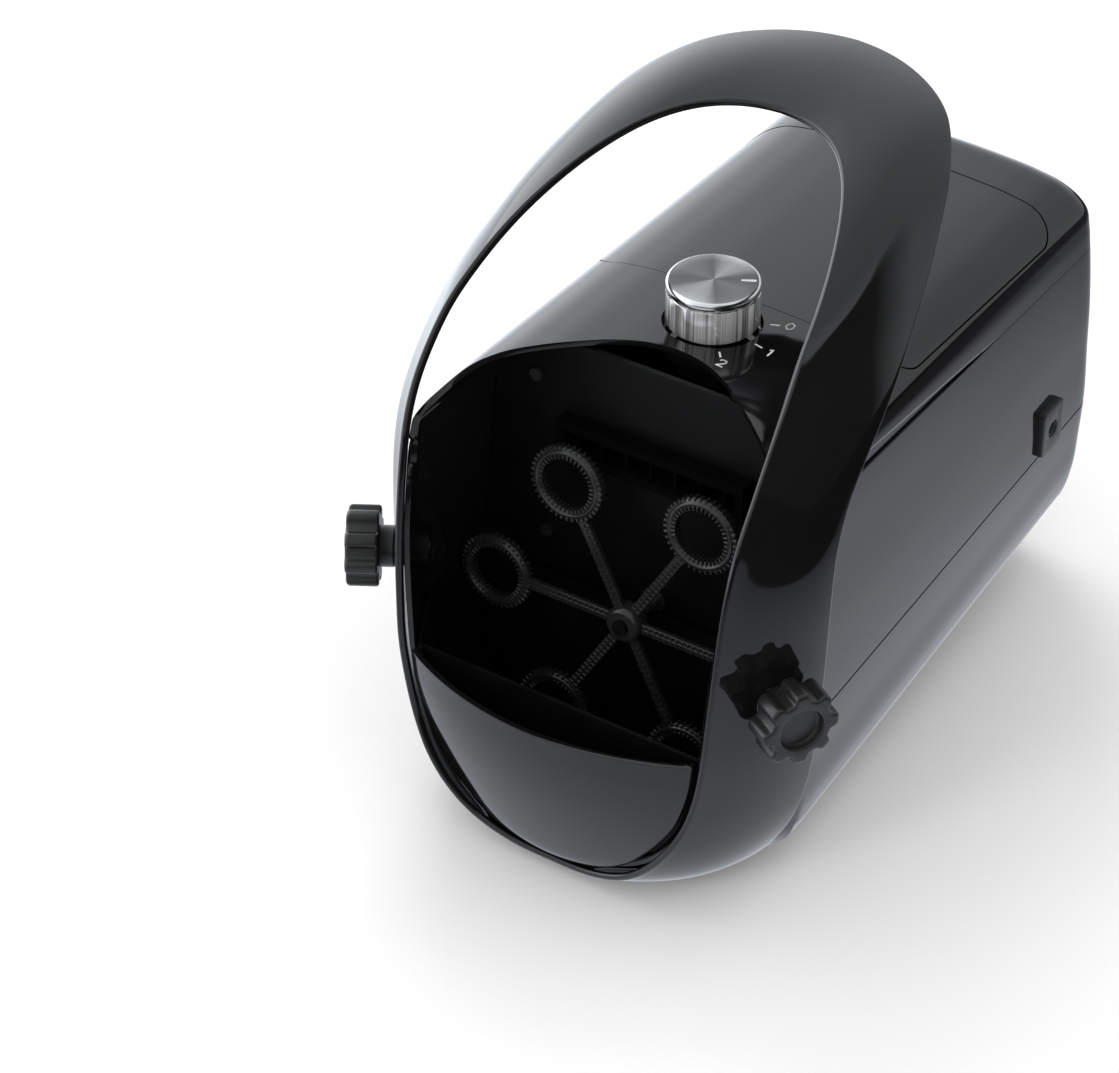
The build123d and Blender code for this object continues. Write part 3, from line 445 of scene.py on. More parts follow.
def upright(cx, cy):
    """Lathe axis standing at cx, cy."""
    return lambda x, y, h: (cx + x, cy + y, h)


def fuse(meshes):
    verts, faces = [], []
    for more_verts, more_faces in meshes:
        start = len(verts)
        verts += more_verts
        faces += [tuple(i + start for i in face) for face in more_faces]
    return verts, faces


def grid_mesh(*grids):
    """Quads over grids of points (rows x columns x 3)."""
    verts, faces = [], []
    for grid in grids:
        rows, cols = grid.shape[:2]
        for i in range(rows - 1):
            for j in range(cols - 1):
                a = len(verts) + i * cols + j
                faces.append((a, a + 1, a + cols + 1, a + cols))
        verts += [tuple(p) for p in grid.reshape(-1, 3)]
    return verts, faces


def unit(rows):
    return rows / np.linalg.norm(rows, axis=1)[:, None]


def relax(values, times):
    """Even out a row of values, the ends held."""
    for _ in range(times):
        after = values.copy()
        after[1:-1] = (values[:-2] + 2 * values[1:-1] + values[2:]) / 4
        values = after
    return values


def hermite(points, t, start=None, end=None):
    """Smooth curve through points at parameters t (0 to len - 1), start and end being tangents."""
    points = np.asarray(points, float)
    chord = np.maximum(np.linalg.norm(np.diff(points, axis=0), axis=1), 1e-6)
    slope = np.diff(points, axis=0) / chord[:, None]
    tangent = np.zeros_like(points)
    tangent[1:-1] = (slope[:-1] * chord[1:, None] + slope[1:] * chord[:-1, None]) \
        / (chord[1:] + chord[:-1])[:, None]
    tangent[0] = slope[0] if start is None else start
    tangent[-1] = slope[-1] if end is None else end
    t = np.asarray(t, float)
    i = np.clip(np.floor(t).astype(int), 0, len(points) - 2)
    s = (t - i)[:, None]
    length = chord[i][:, None]
    s2, s3 = s * s, s * s * s
    return ((2 * s3 - 3 * s2 + 1) * points[i] + (s3 - 2 * s2 + s) * length * tangent[i]
            + (-2 * s3 + 3 * s2) * points[i + 1] + (s3 - s2) * length * tangent[i + 1])


# ---------------------------------------------------------------- outer surface of the casing
def bow_limit(y, angles):
    """Largest outline radius that stays inside the bow at station y."""
    bow_angle, bow_radius = [], []
    for front, rear in zip(BOW_FRONT[:16], BOW_REAR[:16]):
        share = (y - front[1]) / (rear[1] - front[1])
        if share < -0.45:
            continue
        point = front + (rear - front) * share
        arm = np.array([point[0], point[2]]) - CENTRE
        bow_angle.append(math.atan2(arm[1], arm[0]))
        # behind the bow the limit opens quickly
        bow_radius.append(np.hypot(*arm) + max(share - 1.08, 0) * 160)
    if len(bow_angle) < 3:
        return np.full(len(angles), 1e3)
    order = np.argsort(bow_angle)
    bow_angle, bow_radius = np.array(bow_angle)[order], np.array(bow_radius)[order]
    limit = np.interp(angles, bow_angle, bow_radius)
    limit = np.where(angles > bow_angle[-1] + 0.02, 1e3, limit)
    return limit - BOW_THICK / math.cos(math.radians(30)) - BOW_GAP


def outline(y, inset=0.0):
    """Right half of the outline at station y, moved in by inset; top middle to bottom middle."""
    y_taper = max(y, 50)
    back = (y_taper - 50) / 250.0
    top, bottom = TOP_Z - 8 * back, FLOOR_Z + 8.8 * back
    upper, lower = 183.0 - 0.03 * (y_taper - 50), 82.0 + 0.04 * (y_taper - 50)     # joints
    top_x, low_x, corner = TOP_X - 2.5 * back, LOW_X - 5 * back, 27 + 14 * back
    points = [(0, top), (30, top - .8), (50, top - 2.5), (64, top - 5.5), (72.5, top - 9.8),
              (78, top - 15.5), (top_x - 1.3, top - 24), (top_x, upper),
              (top_x + 2.8, upper - 32), (low_x - 1.0, lower + 32), (low_x, lower),
              (low_x - .8, (lower + bottom + corner) / 2)]
    points += arc(low_x - 2.2 - corner, bottom + corner, corner, -4, -84, 5)
    arms = np.array(points + [(0, bottom)], float) - CENTRE
    angles, radii = np.arctan2(arms[:, 1], arms[:, 0]), np.hypot(arms[:, 0], arms[:, 1])
    radii = np.minimum(radii, bow_limit(y, angles))
    points = np.c_[CENTRE[0] + radii * np.cos(angles), CENTRE[1] + radii * np.sin(angles)]
    if inset > 0:
        along = np.gradient(points, axis=0)
        along[0], along[-1] = (1, 0), (-1, 0)
        along = unit(along)
        points = points + np.c_[along[:, 1], -along[:, 0]] * inset
    points[0, 0] = points[-1, 0] = 0
    return points


# Surface table: a row per station, columns 0 (top middle) to 17 (bottom middle) in fine steps
COLUMN_STEPS = 24
COLUMNS = np.linspace(0, 17, 17 * COLUMN_STEPS + 1)
ROUND_Y = REAR_Y - REAR_ROUND
STATIONS = np.concatenate([np.linspace(-14.5, 60, 76), np.linspace(62, ROUND_Y, 40)])


def smooth_outline(points):
    return hermite(points, COLUMNS, (1, 0), (-1, 0))


def surface_table():
    raw = np.array([outline(y) for y in STATIONS])
    weights = np.array([1, 4, 6, 4, 1], float) / 16
    padded = np.concatenate([raw[:1], raw[:1], raw, raw[-1:], raw[-1:]])
    raw = sum(weights[i] * padded[i:i + len(raw)] for i in range(5))
    return np.array([smooth_outline(points) for points in raw])


SURFACE = surface_table()
# Rounding towards the rear wall: (y, outline)
REAR_ROWS = [(ROUND_Y + REAR_ROUND * math.sin(a),
              smooth_outline(outline(ROUND_Y + REAR_ROUND * math.sin(a),
                                     REAR_ROUND * (1 - math.cos(a)))))
             for a in np.radians(np.linspace(0, 90, 13)[1:])]


def pick(table, column):
    """x, z of a column between two fine steps."""
    k = column * COLUMN_STEPS
    i = min(int(k), len(COLUMNS) - 2)
    return table[..., i, :] * (1 - (k - i)) + table[..., i + 1, :] * (k - i)


def surface_at(column, y):
    line = pick(SURFACE, column)
    return np.interp(y, STATIONS, line[:, 0]), np.interp(y, STATIONS, line[:, 1])


def top_z(x, y):
    """Height of the cover's upper face."""
    line = np.array([surface_at(column, y) for column in np.linspace(0, 6.2, 60)])
    return np.interp(np.abs(x), line[:, 0], line[:, 1])


MOUTH_CURVE = hermite(MOUTH, np.linspace(0, 8, 400), (1, 0))


def front_y(column, mouth):
    """y where a column meets the front edge, or the mouth, found by halving."""
    low, high = -14.4, 130.0
    line = pick(SURFACE, column)
    for _ in range(30):
        y = (low + high) / 2
        x, z = np.interp(y, STATIONS, line[:, 0]), np.interp(y, STATIONS, line[:, 1])
        edge = np.interp(z, FRONT_EDGE[:, 0], FRONT_EDGE[:, 1])
        if mouth:
            edge = max(edge, np.interp(x, MOUTH_CURVE[:, 0], MOUTH_CURVE[:, 1], right=-99.0))
        if y < edge:
            low = y
        else:
            high = y
    return (low + high) / 2


def ledge_map(column, y):
    """The strip of the top cover above the joint steps inwards: the column to use, the step."""
    if column < 6.0:
        return column, 0.0
    height = 8.4 * min(max((207 - y) / 157.0, 0.0), 1.0) + 0.35
    start = UPPER_JOINT - height / 10.0
    if column < 6.5:
        return 6.0 + (column - 6.0) / 0.5 * (start - 6.0), 0.0
    t = (column - 6.5) / 0.5
    depth = (1.25 * min(1.0, t / 0.06) + 0.15) * min(1.0, max(212 - y, 0.0) / 30.0)
    return start + t * (UPPER_JOINT - start), depth


def sheets(columns, mouth=False, ledge=False):
    """Outer surface over right-hand columns, front row first, and its mirror on the left."""
    middle_y = 134.0
    front = relax(np.array([front_y(column, mouth) for column in columns]), 2)
    shares = np.concatenate([[0, .006, .014, .024, .036, .05, .07, .095],
                             np.linspace(.125, 1, 24)])
    width = len(columns)
    rows = [(front + (middle_y - front) * t, None) for t in shares]
    rows += [(np.full(width, y), None) for y in np.linspace(middle_y, ROUND_Y, 34)[1:]]
    rows += [(np.full(width, y), curve) for y, curve in REAR_ROWS]
    grid = []
    for ys, curve in rows:
        row = []
        for column, y in zip(columns, ys):
            column, step = ledge_map(column, y) if ledge else (column, 0.0)
            x, z = surface_at(column, y) if curve is None else pick(curve, column)
            row.append((x - step, y, z))
        grid.append(row)
    right = np.array(grid)
    return right, right * (-1, 1, 1)


def wall_between(one, other):
    """Flat of the rear wall: quads between two runs of vertex numbers."""
    return [(one[j], one[j + 1], other[j + 1], other[j]) for j in range(len(one) - 1)]


def folded_mesh(first, second):
    """Two halves joined at the middle, the last row closed by the rear wall."""
    grid = np.concatenate([first, second[:, 1:]], axis=1)
    verts, faces = grid_mesh(grid)
    width = grid.shape[1]
    last_row = range(len(verts) - width, len(verts))
    return verts, faces + wall_between(last_row[:width // 2], last_row[::-1][:width // 2])


# ---------------------------------------------------------------- shells
def set_sheet_normals(piece, sheet, tolerance=0.00006):
    """Give the faces lying on the smooth outer sheet that sheet's own normals."""
    sheet.normal_update()
    sheet_normals = [vert.normal.copy() for vert in sheet.verts]
    triangles = sheet.copy()
    bmesh.ops.triangulate(triangles, faces=triangles.faces)
    triangles.faces.ensure_lookup_table()
    tree = BVHTree.FromBMesh(triangles)

    def normal_near(point):
        """Blended sheet normal at a point; None if the point is off the sheet."""
        nearest, face_normal, index, distance = tree.find_nearest(point)
        if index is None or distance > tolerance:
            return None
        corners = triangles.faces[index].verts
        a, b, c = [vert.co for vert in corners]
        ab, ac, ap = b - a, c - a, nearest - a
        bb, bc, cc, pb, pc = ab.dot(ab), ab.dot(ac), ac.dot(ac), ap.dot(ab), ap.dot(ac)
        area = bb * cc - bc * bc
        if abs(area) < 1e-24:
            return face_normal
        w1, w2 = (cc * pb - bc * pc) / area, (bb * pc - bc * pb) / area
        na, nb, nc = [sheet_normals[vert.index] for vert in corners]
        return (na * (1 - w1 - w2) + nb * w1 + nc * w2).normalized()

    sharp(piece, 40.0)
    data = piece.data
    normals = [normal.vector.copy() for normal in data.corner_normals]
    near = [normal_near(vert.co) for vert in data.vertices]
    for polygon in data.polygons:
        found = [near[i] for i in polygon.vertices]
        if all(n is not None for n in found) and polygon.normal.dot(found[0]) > 0.96:
            for loop, normal in zip(polygon.loop_indices, found):
                normals[loop] = normal
    data.normals_split_custom_set([tuple(n) for n in normals])
    triangles.free()


def shell(name, mesh, replaced=None, finish="gloss", thickness=WALL, edge=0.8, openings=(),
          crease=None):
    """Sheet thickened inwards; shaded by crease angle if given, else by the sheet's normals."""
    piece = add_piece(name, mesh, finish, replaced)
    with edit(piece) as bm:
        bmesh.ops.remove_doubles(bm, verts=bm.verts, dist=1e-5)
        bmesh.ops.recalc_face_normals(bm, faces=bm.faces)
        # an open sheet has no outside of its own: turn it to face away from the casing's middle
        middle = Vector((0, (150 - PIVOT_Y) / 1000, 0.110))
        if sum((face.calc_center_median() - middle).dot(face.normal) * face.calc_area()
               for face in bm.faces) < 0:
            bmesh.ops.reverse_faces(bm, faces=bm.faces)
        sheet = bm.copy()
    solidify(piece, thickness)
    bevel(piece, edge)
    bake(piece)
    if openings:
        cut(piece, openings)
    if crease is None:
        set_sheet_normals(piece, sheet)
    else:
        sharp(piece, crease)
    sheet.free()


def top_cover():
    columns = np.concatenate([np.linspace(0, 5.9, 60), np.linspace(6.0, 6.495, 8),
                              [6.5, 6.515, 6.53, 6.6, 6.7, 6.8, 6.9, 6.965, 6.988]])
    right, left = sheets(columns, mouth=True, ledge=True)
    panel = rounded_rect(-PANEL_X, PANEL_X, PANEL_Y0, PANEL_Y1, PANEL_R, 14)
    shell("top_cover_shell", folded_mesh(left[:, ::-1], right), "top_cover",
          openings=[prism(panel, 190, 260), prism(circle(0, DIAL_Y, 21.4, 128), 190, 260)])


def dial_well():
    profile = [(21.42, 213.4), (21.42, 207.6), (21.0, 207.2), (0.01, 207.2), (0.01, 205.2),
               (23.0, 205.2), (23.2, 205.4), (23.2, 213.4)]
    solid_piece("dial_well", lathe(profile, 96, upright(0, DIAL_Y)), "gloss")


def below_top(ys, y0, y1, half_x, radius, spread, depth):
    """Round-cornered mesh lying depth below the cover's upper face; spread sets the x steps."""
    rows = []
    for y in ys:
        to_end = min(y - y0, y1 - y, radius)
        xs = spread * (half_x - (radius - math.sqrt(max(0.0, radius ** 2
                                                        - (radius - to_end) ** 2))))
        rows.append(np.c_[xs, np.full(len(xs), y), top_z(xs, y) - depth])
    return grid_mesh(np.array(rows))


def top_panel():
    """Inset panel behind the dial."""
    gap = 0.5
    y0, y1 = PANEL_Y0 + gap, PANEL_Y1 - gap
    quarter = np.radians(np.linspace(0, 90, 16))
    ys = np.concatenate([y0 + PANEL_R * (1 - np.cos(quarter)),
                         np.linspace(y0 + PANEL_R, y1 - PANEL_R, 26)[1:-1],
                         y1 - PANEL_R * (1 - np.cos(quarter[::-1]))])
    reach = 0.94                                     # share of a quarter sine: closer at the ends
    spread = np.sin(np.linspace(-1, 1, 61) * math.pi / 2 * reach) / math.sin(math.pi / 2 * reach)
    shell("top_panel_lid",
          below_top(ys, y0, y1, PANEL_X - gap, PANEL_R, spread, depth=0.16),
          "top_panel", thickness=1.5, edge=0.45, crease=50.0)


def panel_rest():
    """The tray the panel lies in."""
    ys = np.linspace(PANEL_Y0 - 2.4, PANEL_Y1 + 2.4, 40)
    mesh = below_top(ys, PANEL_Y0 - 2.5, PANEL_Y1 + 2.5, PANEL_X + 0.8, 18,
                     np.linspace(-1, 1, 41), depth=2.75)
    shell("panel_rest", mesh, finish="deep", thickness=1.2, edge=0.2, crease=35.0)


def middle_shell():
    """Both sides and the rear wall, with slots in the rear and a hole for the charge socket."""
    columns = np.concatenate([[7.012, 7.03, 7.06], np.linspace(7.12, 9.88, 44),
                              [9.94, 9.97, 9.988]])
    right, left = sheets(columns)
    verts, faces = grid_mesh(right, left)
    width, half = len(columns), len(verts) // 2
    faces += wall_between(range(half - width, half), range(2 * half - width, 2 * half))
    slot_x, slot_r, slot_z, slot_pitch = 31, 1.2, 119.2, 5.0
    holes = []
    for k in range(9):
        z = slot_z + k * slot_pitch
        slot = arc(slot_x, z, slot_r, -90, 90, 7) + arc(-slot_x, z, slot_r, 90, 270, 7)
        holes.append(prism(slot, REAR_Y - 8, REAR_Y + 5, "y"))
    holes.append(prism(circle(SOCKET_Y, SOCKET_Z, 4.1, 48), 60, 120, "x"))
    shell("middle_shell_body", (verts, faces), "middle_shell", openings=[fuse(holes)])


def bottom_tub():
    columns = np.concatenate([[10.012, 10.03, 10.06], np.linspace(10.15, 16.0, 80),
                              np.linspace(16.05, 17, 16)])
    right, left = sheets(columns)
    shell("bottom_tub_shell", folded_mesh(right, left[:, ::-1]), "bottom_tub")


def front_apron():
    """Bowed front panel: an arc forwards, with straight sides back to the casing."""
    rows = []
    for z, half_x, reach in hermite(APRON, np.linspace(0, 8, 90)):
        side = min(17.0, reach - 1.5)                # how far forwards the sides run
        rise = reach - side
        radius = (half_x * half_x + rise * rise) / (2 * rise)
        half_angle = math.asin(min(1.0, half_x / radius))
        a = np.linspace(-half_angle, half_angle, 81)
        bowed = np.c_[radius * np.sin(a), -(reach - radius) - radius * np.cos(a), np.full(81, z)]
        ys = np.linspace(-14.0, -side, 9)[:-1]
        left = np.c_[np.full(8, bowed[0, 0]), ys, np.full(8, z)]
        right = np.c_[np.full(8, bowed[-1, 0]), ys[::-1], np.full(8, z)]
        rows.append(np.vstack([left, bowed, right]))
    apron = add_piece("front_apron", grid_mesh(np.array(rows)), "gloss", "front_panel")
    with edit(apron) as bm:
        bmesh.ops.recalc_face_normals(bm, faces=bm.faces)
        if sum(face.normal.y for face in bm.faces) > 0:
            bmesh.ops.reverse_faces(bm, faces=bm.faces)
    solidify(apron, 2.4)
    bevel(apron, 0.9)
    bake(apron)
    sharp(apron, 50.0)


# ---------------------------------------------------------------- carrying bow
def bow_section(width, bulge, z):
    """Closed section of the band: (across the width, inwards) points."""
    front_round, rear_round = 1.6, 1.3

    def edge(x, reach, outer, inner, degrees):
        return [(x + reach * math.cos(a), (outer + inner) / 2 + (inner - outer) / 2 * math.sin(a))
                for a in np.radians(degrees)]

    s = np.concatenate([[0.0], np.linspace(0.012, 0.988, 23), [1.0]])
    s = np.clip(s, front_round / width, 1 - rear_round / width)
    # an even curve over the crown, fuller towards the rear rim at the sides
    k = float(np.interp(z, [60, 110, 190, 250], [0.0, 1.0, 1.0, 0.0]))
    swell = ((1 - k) * 4 * s * (1 - s) + k * 6.75 * s ** 2 * (1 - s) * 1.15) * (bulge + 0.6)
    outer = np.c_[s * width, -swell]
    inner = np.c_[s[::-1] * width, BOW_THICK - swell[::-1]]
    rear = edge(width - rear_round, rear_round, outer[-1, 1], inner[0, 1],
                [-66, -42, -18, 6, 30, 54, 76])
    front = edge(front_round, -front_round, outer[0, 1], inner[-1, 1],
                 [76, 58, 40, 20, 0, -20, -40, -58, -76])
    return np.vstack([outer, rear, inner, front])


def carry_bow():
    count = 24 * 9 + 1
    t = np.linspace(0, 24, count)
    front, rear = (relax(hermite(rim, t, (1, 0, 0), (-1, 0, 0)), 10)
                   for rim in (BOW_FRONT, BOW_REAR))
    bulges = relax(np.interp(t, range(25), BOW_BULGE), 30)
    middle = (front + rear) / 2
    along = np.gradient(middle, axis=0)
    along[0], along[-1] = (1, 0, 0), (-1, 0, 0)
    along = unit(along)
    across = rear - front
    widths = np.linalg.norm(across, axis=1)
    across /= widths[:, None]
    inwards = unit(np.cross(across, along))
    inside = np.array([0, 60, 125])                  # a point inside the ring of the bow
    inwards *= np.sign(np.einsum("ij,ij->i", inwards, inside - middle))[:, None]
    rows = []
    for i in range(count):
        section = bow_section(widths[i], bulges[i], middle[i, 2])
        rows.append(front[i] + section[:, :1] * across[i] + section[:, 1:] * inwards[i])
    right = np.array(rows)
    ring = np.concatenate([right, right[::-1][1:-1] * (-1, 1, 1)], axis=0)
    n, m = ring.shape[:2]
    faces = [(i * m + j, i * m + (j + 1) % m, (i + 1) % n * m + (j + 1) % m, (i + 1) % n * m + j)
             for i in range(n) for j in range(m)]
    verts = [tuple(p) for p in ring.reshape(-1, 3)]
    solid_piece("carry_bow_band", (verts, faces), "gloss", "carry_bow", crease=60.0)


CLAMP_X, CLAMP_Y, CLAMP_Z = 92.27, 9, 121            # middle of the band at the clamp screw
CLAMP_COS, CLAMP_SIN = math.cos(math.radians(30.5)), math.sin(math.radians(30.5))


def clamp(side):
    """Clamp screw frame: x up, y rearwards along the band, h outwards from its middle."""
    return lambda x, y, h: (side * (CLAMP_X + CLAMP_COS * h + CLAMP_SIN * y),
                            CLAMP_Y - CLAMP_SIN * h + CLAMP_COS * y, CLAMP_Z + x)


def clamp_seats():
    """Seats outside the band, and bosses inside it."""
    seat = [(4.1, 2.6), (9.0, 2.6), (9.4, 2.2), (9.4, -1.5)]
    band_boss = [(4.1, -2.6), (8.4, -2.6), (8.4, 0.0)]
    casing_boss = [(4.1, -4.2), (8.3, -4.2), (8.5, -4.5), (8.5, -12.0), (4.1, -12.0)]
    for name, finish, profiles in (("bow_seats", "gloss", [seat]),
                                   ("clamp_bosses", "inner", [band_boss, casing_boss])):
        parts = [lathe(profile, 64, clamp(side)) for side in (1, -1) for profile in profiles]
        solid_piece(name, fuse(parts), finish)


def star(inset):
    """Eight-lobed radius as a function of the angle; the lobes fade as the inset grows."""
    depth = 1.75 * max(0.0, 1 - inset / 6.0)
    return lambda a: 15.8 - inset + depth * math.tanh(2.2 * math.cos(8 * a)) / math.tanh(2.2)


def star_knobs():
    collar = [(4.0, 2.7), (8.6, 2.7), (9.0, 3.1), (9.0, 8.3), (9.4, 8.8)]
    lobes = [(3.6, 8.9), (0.9, 8.95), (0.4, 9.15), (0.12, 9.5), (0.0, 10.1), (0.0, 21.0),
             (0.08, 21.7), (0.3, 22.3), (0.7, 22.75), (1.25, 22.95), (1.9, 23.0)]  # inset, height
    dish = [(10.5, 23.0), (10.1, 22.9), (9.85, 22.6), (9.75, 22.1), (9.4, 19.8), (9.0, 19.4),
            (8.2, 19.25), (5.0, 19.2), (0.02, 19.2)]
    profile = collar + [(star(inset), h) for inset, h in lobes] + dish
    for side, word in ((1, "right"), (-1, "left")):
        solid_piece("star_knob_head_" + word, lathe(profile, 256, clamp(side)), "satin",
                    "star_knob_" + word, "knob_" + word, crease=42.0)


# ---------------------------------------------------------------- ring wheel
LEAN_COS = math.cos(math.radians(90.0 - WHEEL_TILT))
LEAN_SIN = math.sin(math.radians(90.0 - WHEEL_TILT))


def on_wheel(x, y, h):
    """Wheel frame: x right, y up the wheel, h forwards along its axle."""
    return (x, WHEEL_Y + y * LEAN_COS - h * LEAN_SIN, WHEEL_Z + y * LEAN_SIN + h * LEAN_COS)


def wheel_box(x0, x1, half_y, half_h, angle, cx=0.0, cy=0.0):
    """Chamfered box from x0 to x1, turned by angle about cx, cy."""
    chamfer = 0.25
    c, s = math.cos(angle), math.sin(angle)
    verts = []
    for inset, h in ((chamfer, -half_h), (0.0, chamfer - half_h),
                     (0.0, half_h - chamfer), (chamfer, half_h)):
        xa, xb, yb = x0 + inset, x1 - inset, half_y - inset
        for x, y in ((xa, -yb), (xb, -yb), (xb, yb), (xa, yb)):
            verts.append(on_wheel(cx + c * x - s * y, cy + s * x + c * y, h))
    faces = [(4 * k + i, 4 * k + (i + 1) % 4, 4 * k + 4 + (i + 1) % 4, 4 * k + 4 + i)
             for k in range(3) for i in range(4)]
    return verts, faces + [(3, 2, 1, 0), (12, 13, 14, 15)]


def ring_wheel():
    """Hub with six toothed rings on ribbed spokes."""
    ring_at, ring_out, ring_in, teeth = 66.0, 17.8, 11.8, 40
    hub = [(0.02, -4.0), (8.1, -4.0), (8.5, -3.6), (8.5, 2.6), (8.0, 3.6), (7.0, 4.3),
           (6.0, 4.5), (0.02, 4.5)]
    # one face of a ring: a thin web with a rounded ridge
    face = [(12.5, 1.3), (13.2, 1.5), (13.7, 1.9), (14.2, 2.35), (14.8, 2.5), (15.4, 2.35),
            (15.9, 1.9), (16.3, 1.5), (16.9, 1.3), (17.1, 1.0)]
    ring = [(r, -h) for r, h in face] + face[::-1] + [(12.3, 1.0), (12.3, -1.0), (12.5, -1.3)]
    parts = [lathe(hub, 64, on_wheel)]
    for k in range(6):
        angle = math.radians(60 * k)
        cx, cy = ring_at * math.cos(angle), ring_at * math.sin(angle)
        parts.append(lathe(ring, 80, lambda x, y, h: on_wheel(cx + x, cy + y, h)))
        for j in range(teeth):
            inner, outer = 2 * math.pi * j / teeth, 2 * math.pi * (j + 0.5) / teeth
            parts.append(wheel_box(ring_in, 13.9, 0.45, 2.4, inner, cx, cy))
            parts.append(wheel_box(15.7, ring_out, 0.6, 1.9, outer, cx, cy))
        spoke_end = ring_at - ring_out + 1.4
        parts.append(wheel_box(7.0, spoke_end, 2.4, 1.2, angle))
        parts.append(wheel_box(7.0, spoke_end, 0.5, 1.8, angle))
        for j in range(15):
            x = 9.6 + j * 2.7
            parts.append(wheel_box(x - 0.55, x + 0.55, 2.2, 1.75, angle))
    solid_piece("ring_wheel", fuse(parts), "wheel", "wand_wheel", "wheel", crease=38.0)


# ---------------------------------------------------------------- dial and its print
def dial_knob():
    # radius, depth below the top
    profile = [(3.0, 20), (19.4, 20), (19.8, 19.6), (DIAL_R, 19.2), (DIAL_R, 4.9),
               (19.85, 4.55), (19.5, 4.35), (19.25, 4.2), (19.25, 3.95), (19.5, 3.8),
               (19.85, 3.65), (DIAL_R, 3.35), (DIAL_R, 1.5), (19.9, 1.1), (19.6, 0.6),
               (19.2, 0.22), (18.75, 0.03), (18.55, 0), (14, 0), (9, 0), (4, 0), (0.02, 0)]
    count = 192
    side, top, rim = 0, 1, 2
    # material of each band between two profile points
    bands = [side] * 5 + [rim] * 2 + [side] * 4 + [rim] * 5 + [top] * 5
    mesh = lathe([(r, DIAL_TOP_Z - depth) for r, depth in profile], count, upright(0, DIAL_Y))
    solid_piece("dial_knob_turned", mesh, "dial_top", "dial_knob", "dial", crease=30.0,
                materials=[MATERIALS[key] for key in ("dial_side", "dial_top", "rim")],
                face_materials=np.repeat(bands, count))


def dial_pointer():
    outline_points = turned([(11.4, -0.55), (17.7, -0.85), (17.7, 0.85), (11.4, 0.55)], MARK_ANGLE)
    pointer = add_piece("dial_pointer_mark",
                        prism(outline_points, DIAL_TOP_Z - 0.3, DIAL_TOP_Z + 0.06),
                        "white", "dial_pointer", "dial", smooth=False)
    outward(pointer)


def stroke(points, width):
    """A drawn line as small quads, with a disc at each inner point."""
    polygons = []
    for (x0, y0), (x1, y1) in zip(points[:-1], points[1:]):
        dx, dy = x1 - x0, y1 - y0
        length = math.hypot(dx, dy)
        nx, ny = -dy / length * width / 2, dx / length * width / 2
        steps = max(1, int(length / 1.0))
        for i in range(steps):
            (xa, ya), (xb, yb) = ((x0 + dx * t, y0 + dy * t) for t in (i / steps, (i + 1) / steps))
            polygons.append([(xa - nx, ya - ny), (xb - nx, yb - ny),
                             (xb + nx, yb + ny), (xa + nx, ya + ny)])
    return polygons + [circle(x, y, width / 2, 8) for x, y in points[1:-1]]


def dial_marks():
    """Three ticks with the figures 0, 1 and 2, laid on the cover."""
    figures = [
        [(1.5 * math.sin(t), 2.4 * math.cos(t)) for t in np.linspace(0, 2 * math.pi, 25)],
        [(-0.9, 1.5), (0.35, 2.4), (0.35, -2.8)],
        [(-1.45, 1.3), (-1.2, 2.0), (-0.6, 2.4), (0.1, 2.45), (0.9, 2.2), (1.35, 1.6),
         (1.3, 0.8), (0.7, -0.2), (-1.5, -2.35), (1.7, -2.4)]]
    polygons = []
    for k, figure in enumerate(figures):
        start, end, (cx, cy) = turned([(24.2, 0), (28.2, 0), (32.5, 0)],
                                      MARK_ANGLE - k * MARK_STEP)
        polygons += stroke([start, end], 0.8)
        polygons += stroke([(cx + x, cy + y) for x, y in figure], 0.75)
    verts, faces = [], []
    for polygon in polygons:
        faces.append(tuple(range(len(verts), len(verts) + len(polygon))))
        verts += [(x, y, top_z(x, y) + 0.06) for x, y in polygon]
    marks = add_piece("dial_scale_print", (verts, faces), "white", "dial_marks", smooth=False)
    with edit(marks) as bm:
        for face in bm.faces:
            if face.normal.z < 0:
                face.normal_flip()


# ---------------------------------------------------------------- charge socket and feet
def jack_bezel():
    half_y, half_z = 9.5, 12
    plate = rounded_rect(SOCKET_Y - half_y, SOCKET_Y + half_y,
                         SOCKET_Z - half_z, SOCKET_Z + half_z, 2.2, 8)
    bezel = add_piece("jack_bezel_plate", prism(plate, 84.6, 89.6, "x"), "satin", "jack_bezel")
    outward(bezel)
    cut(bezel, [prism(circle(SOCKET_Y, SOCKET_Z, 4.0, 48), 80, 100, "x")])
    bevel(bezel, 0.7)
    bake(bezel)
    sharp(bezel, 40.0)


def charge_socket():
    """Pin and barrel behind the bezel."""
    pin = [(0.02, 80.0), (0.88, 80.0), (0.9, 86.6), (0.7, 86.8), (0.02, 86.9)]
    barrel = [(3.9, 70.0), (3.9, 88.6), (3.6, 88.9), (3.0, 88.9), (2.8, 88.6), (2.8, 78.0),
              (0.02, 78.0), (0.02, 70.0), (3.9, 70.0)]
    parts = [lathe(profile, count, lambda x, y, h: (h, SOCKET_Y + x, SOCKET_Z + y))
             for profile, count in ((pin, 24), (barrel, 48))]
    solid_piece("charge_socket_barrel", fuse(parts), "satin", "charge_jack")


def rubber_feet():
    parts = []
    for x, y, top in ((-50, 47.5, 6.6), (50, 47.5, 6.6), (-38, 258, 13.0), (38, 258, 13.0)):
        profile = [(3.4, top - 2.6), (3.4, 0.5), (3.7, 0.1), (4.4, 0.0), (6.2, 0.0), (6.7, 0.3),
                   (7.0, 1.0), (8.1, top - 0.6), (8.0, top - 0.1), (1.7, top - 0.05),
                   (1.7, top - 2.6), (3.4, top - 2.6)]
        parts.append(lathe(profile, 48, upright(x, y)))
    solid_piece("rubber_foot_set", fuse(parts), "rubber", "rubber_feet")


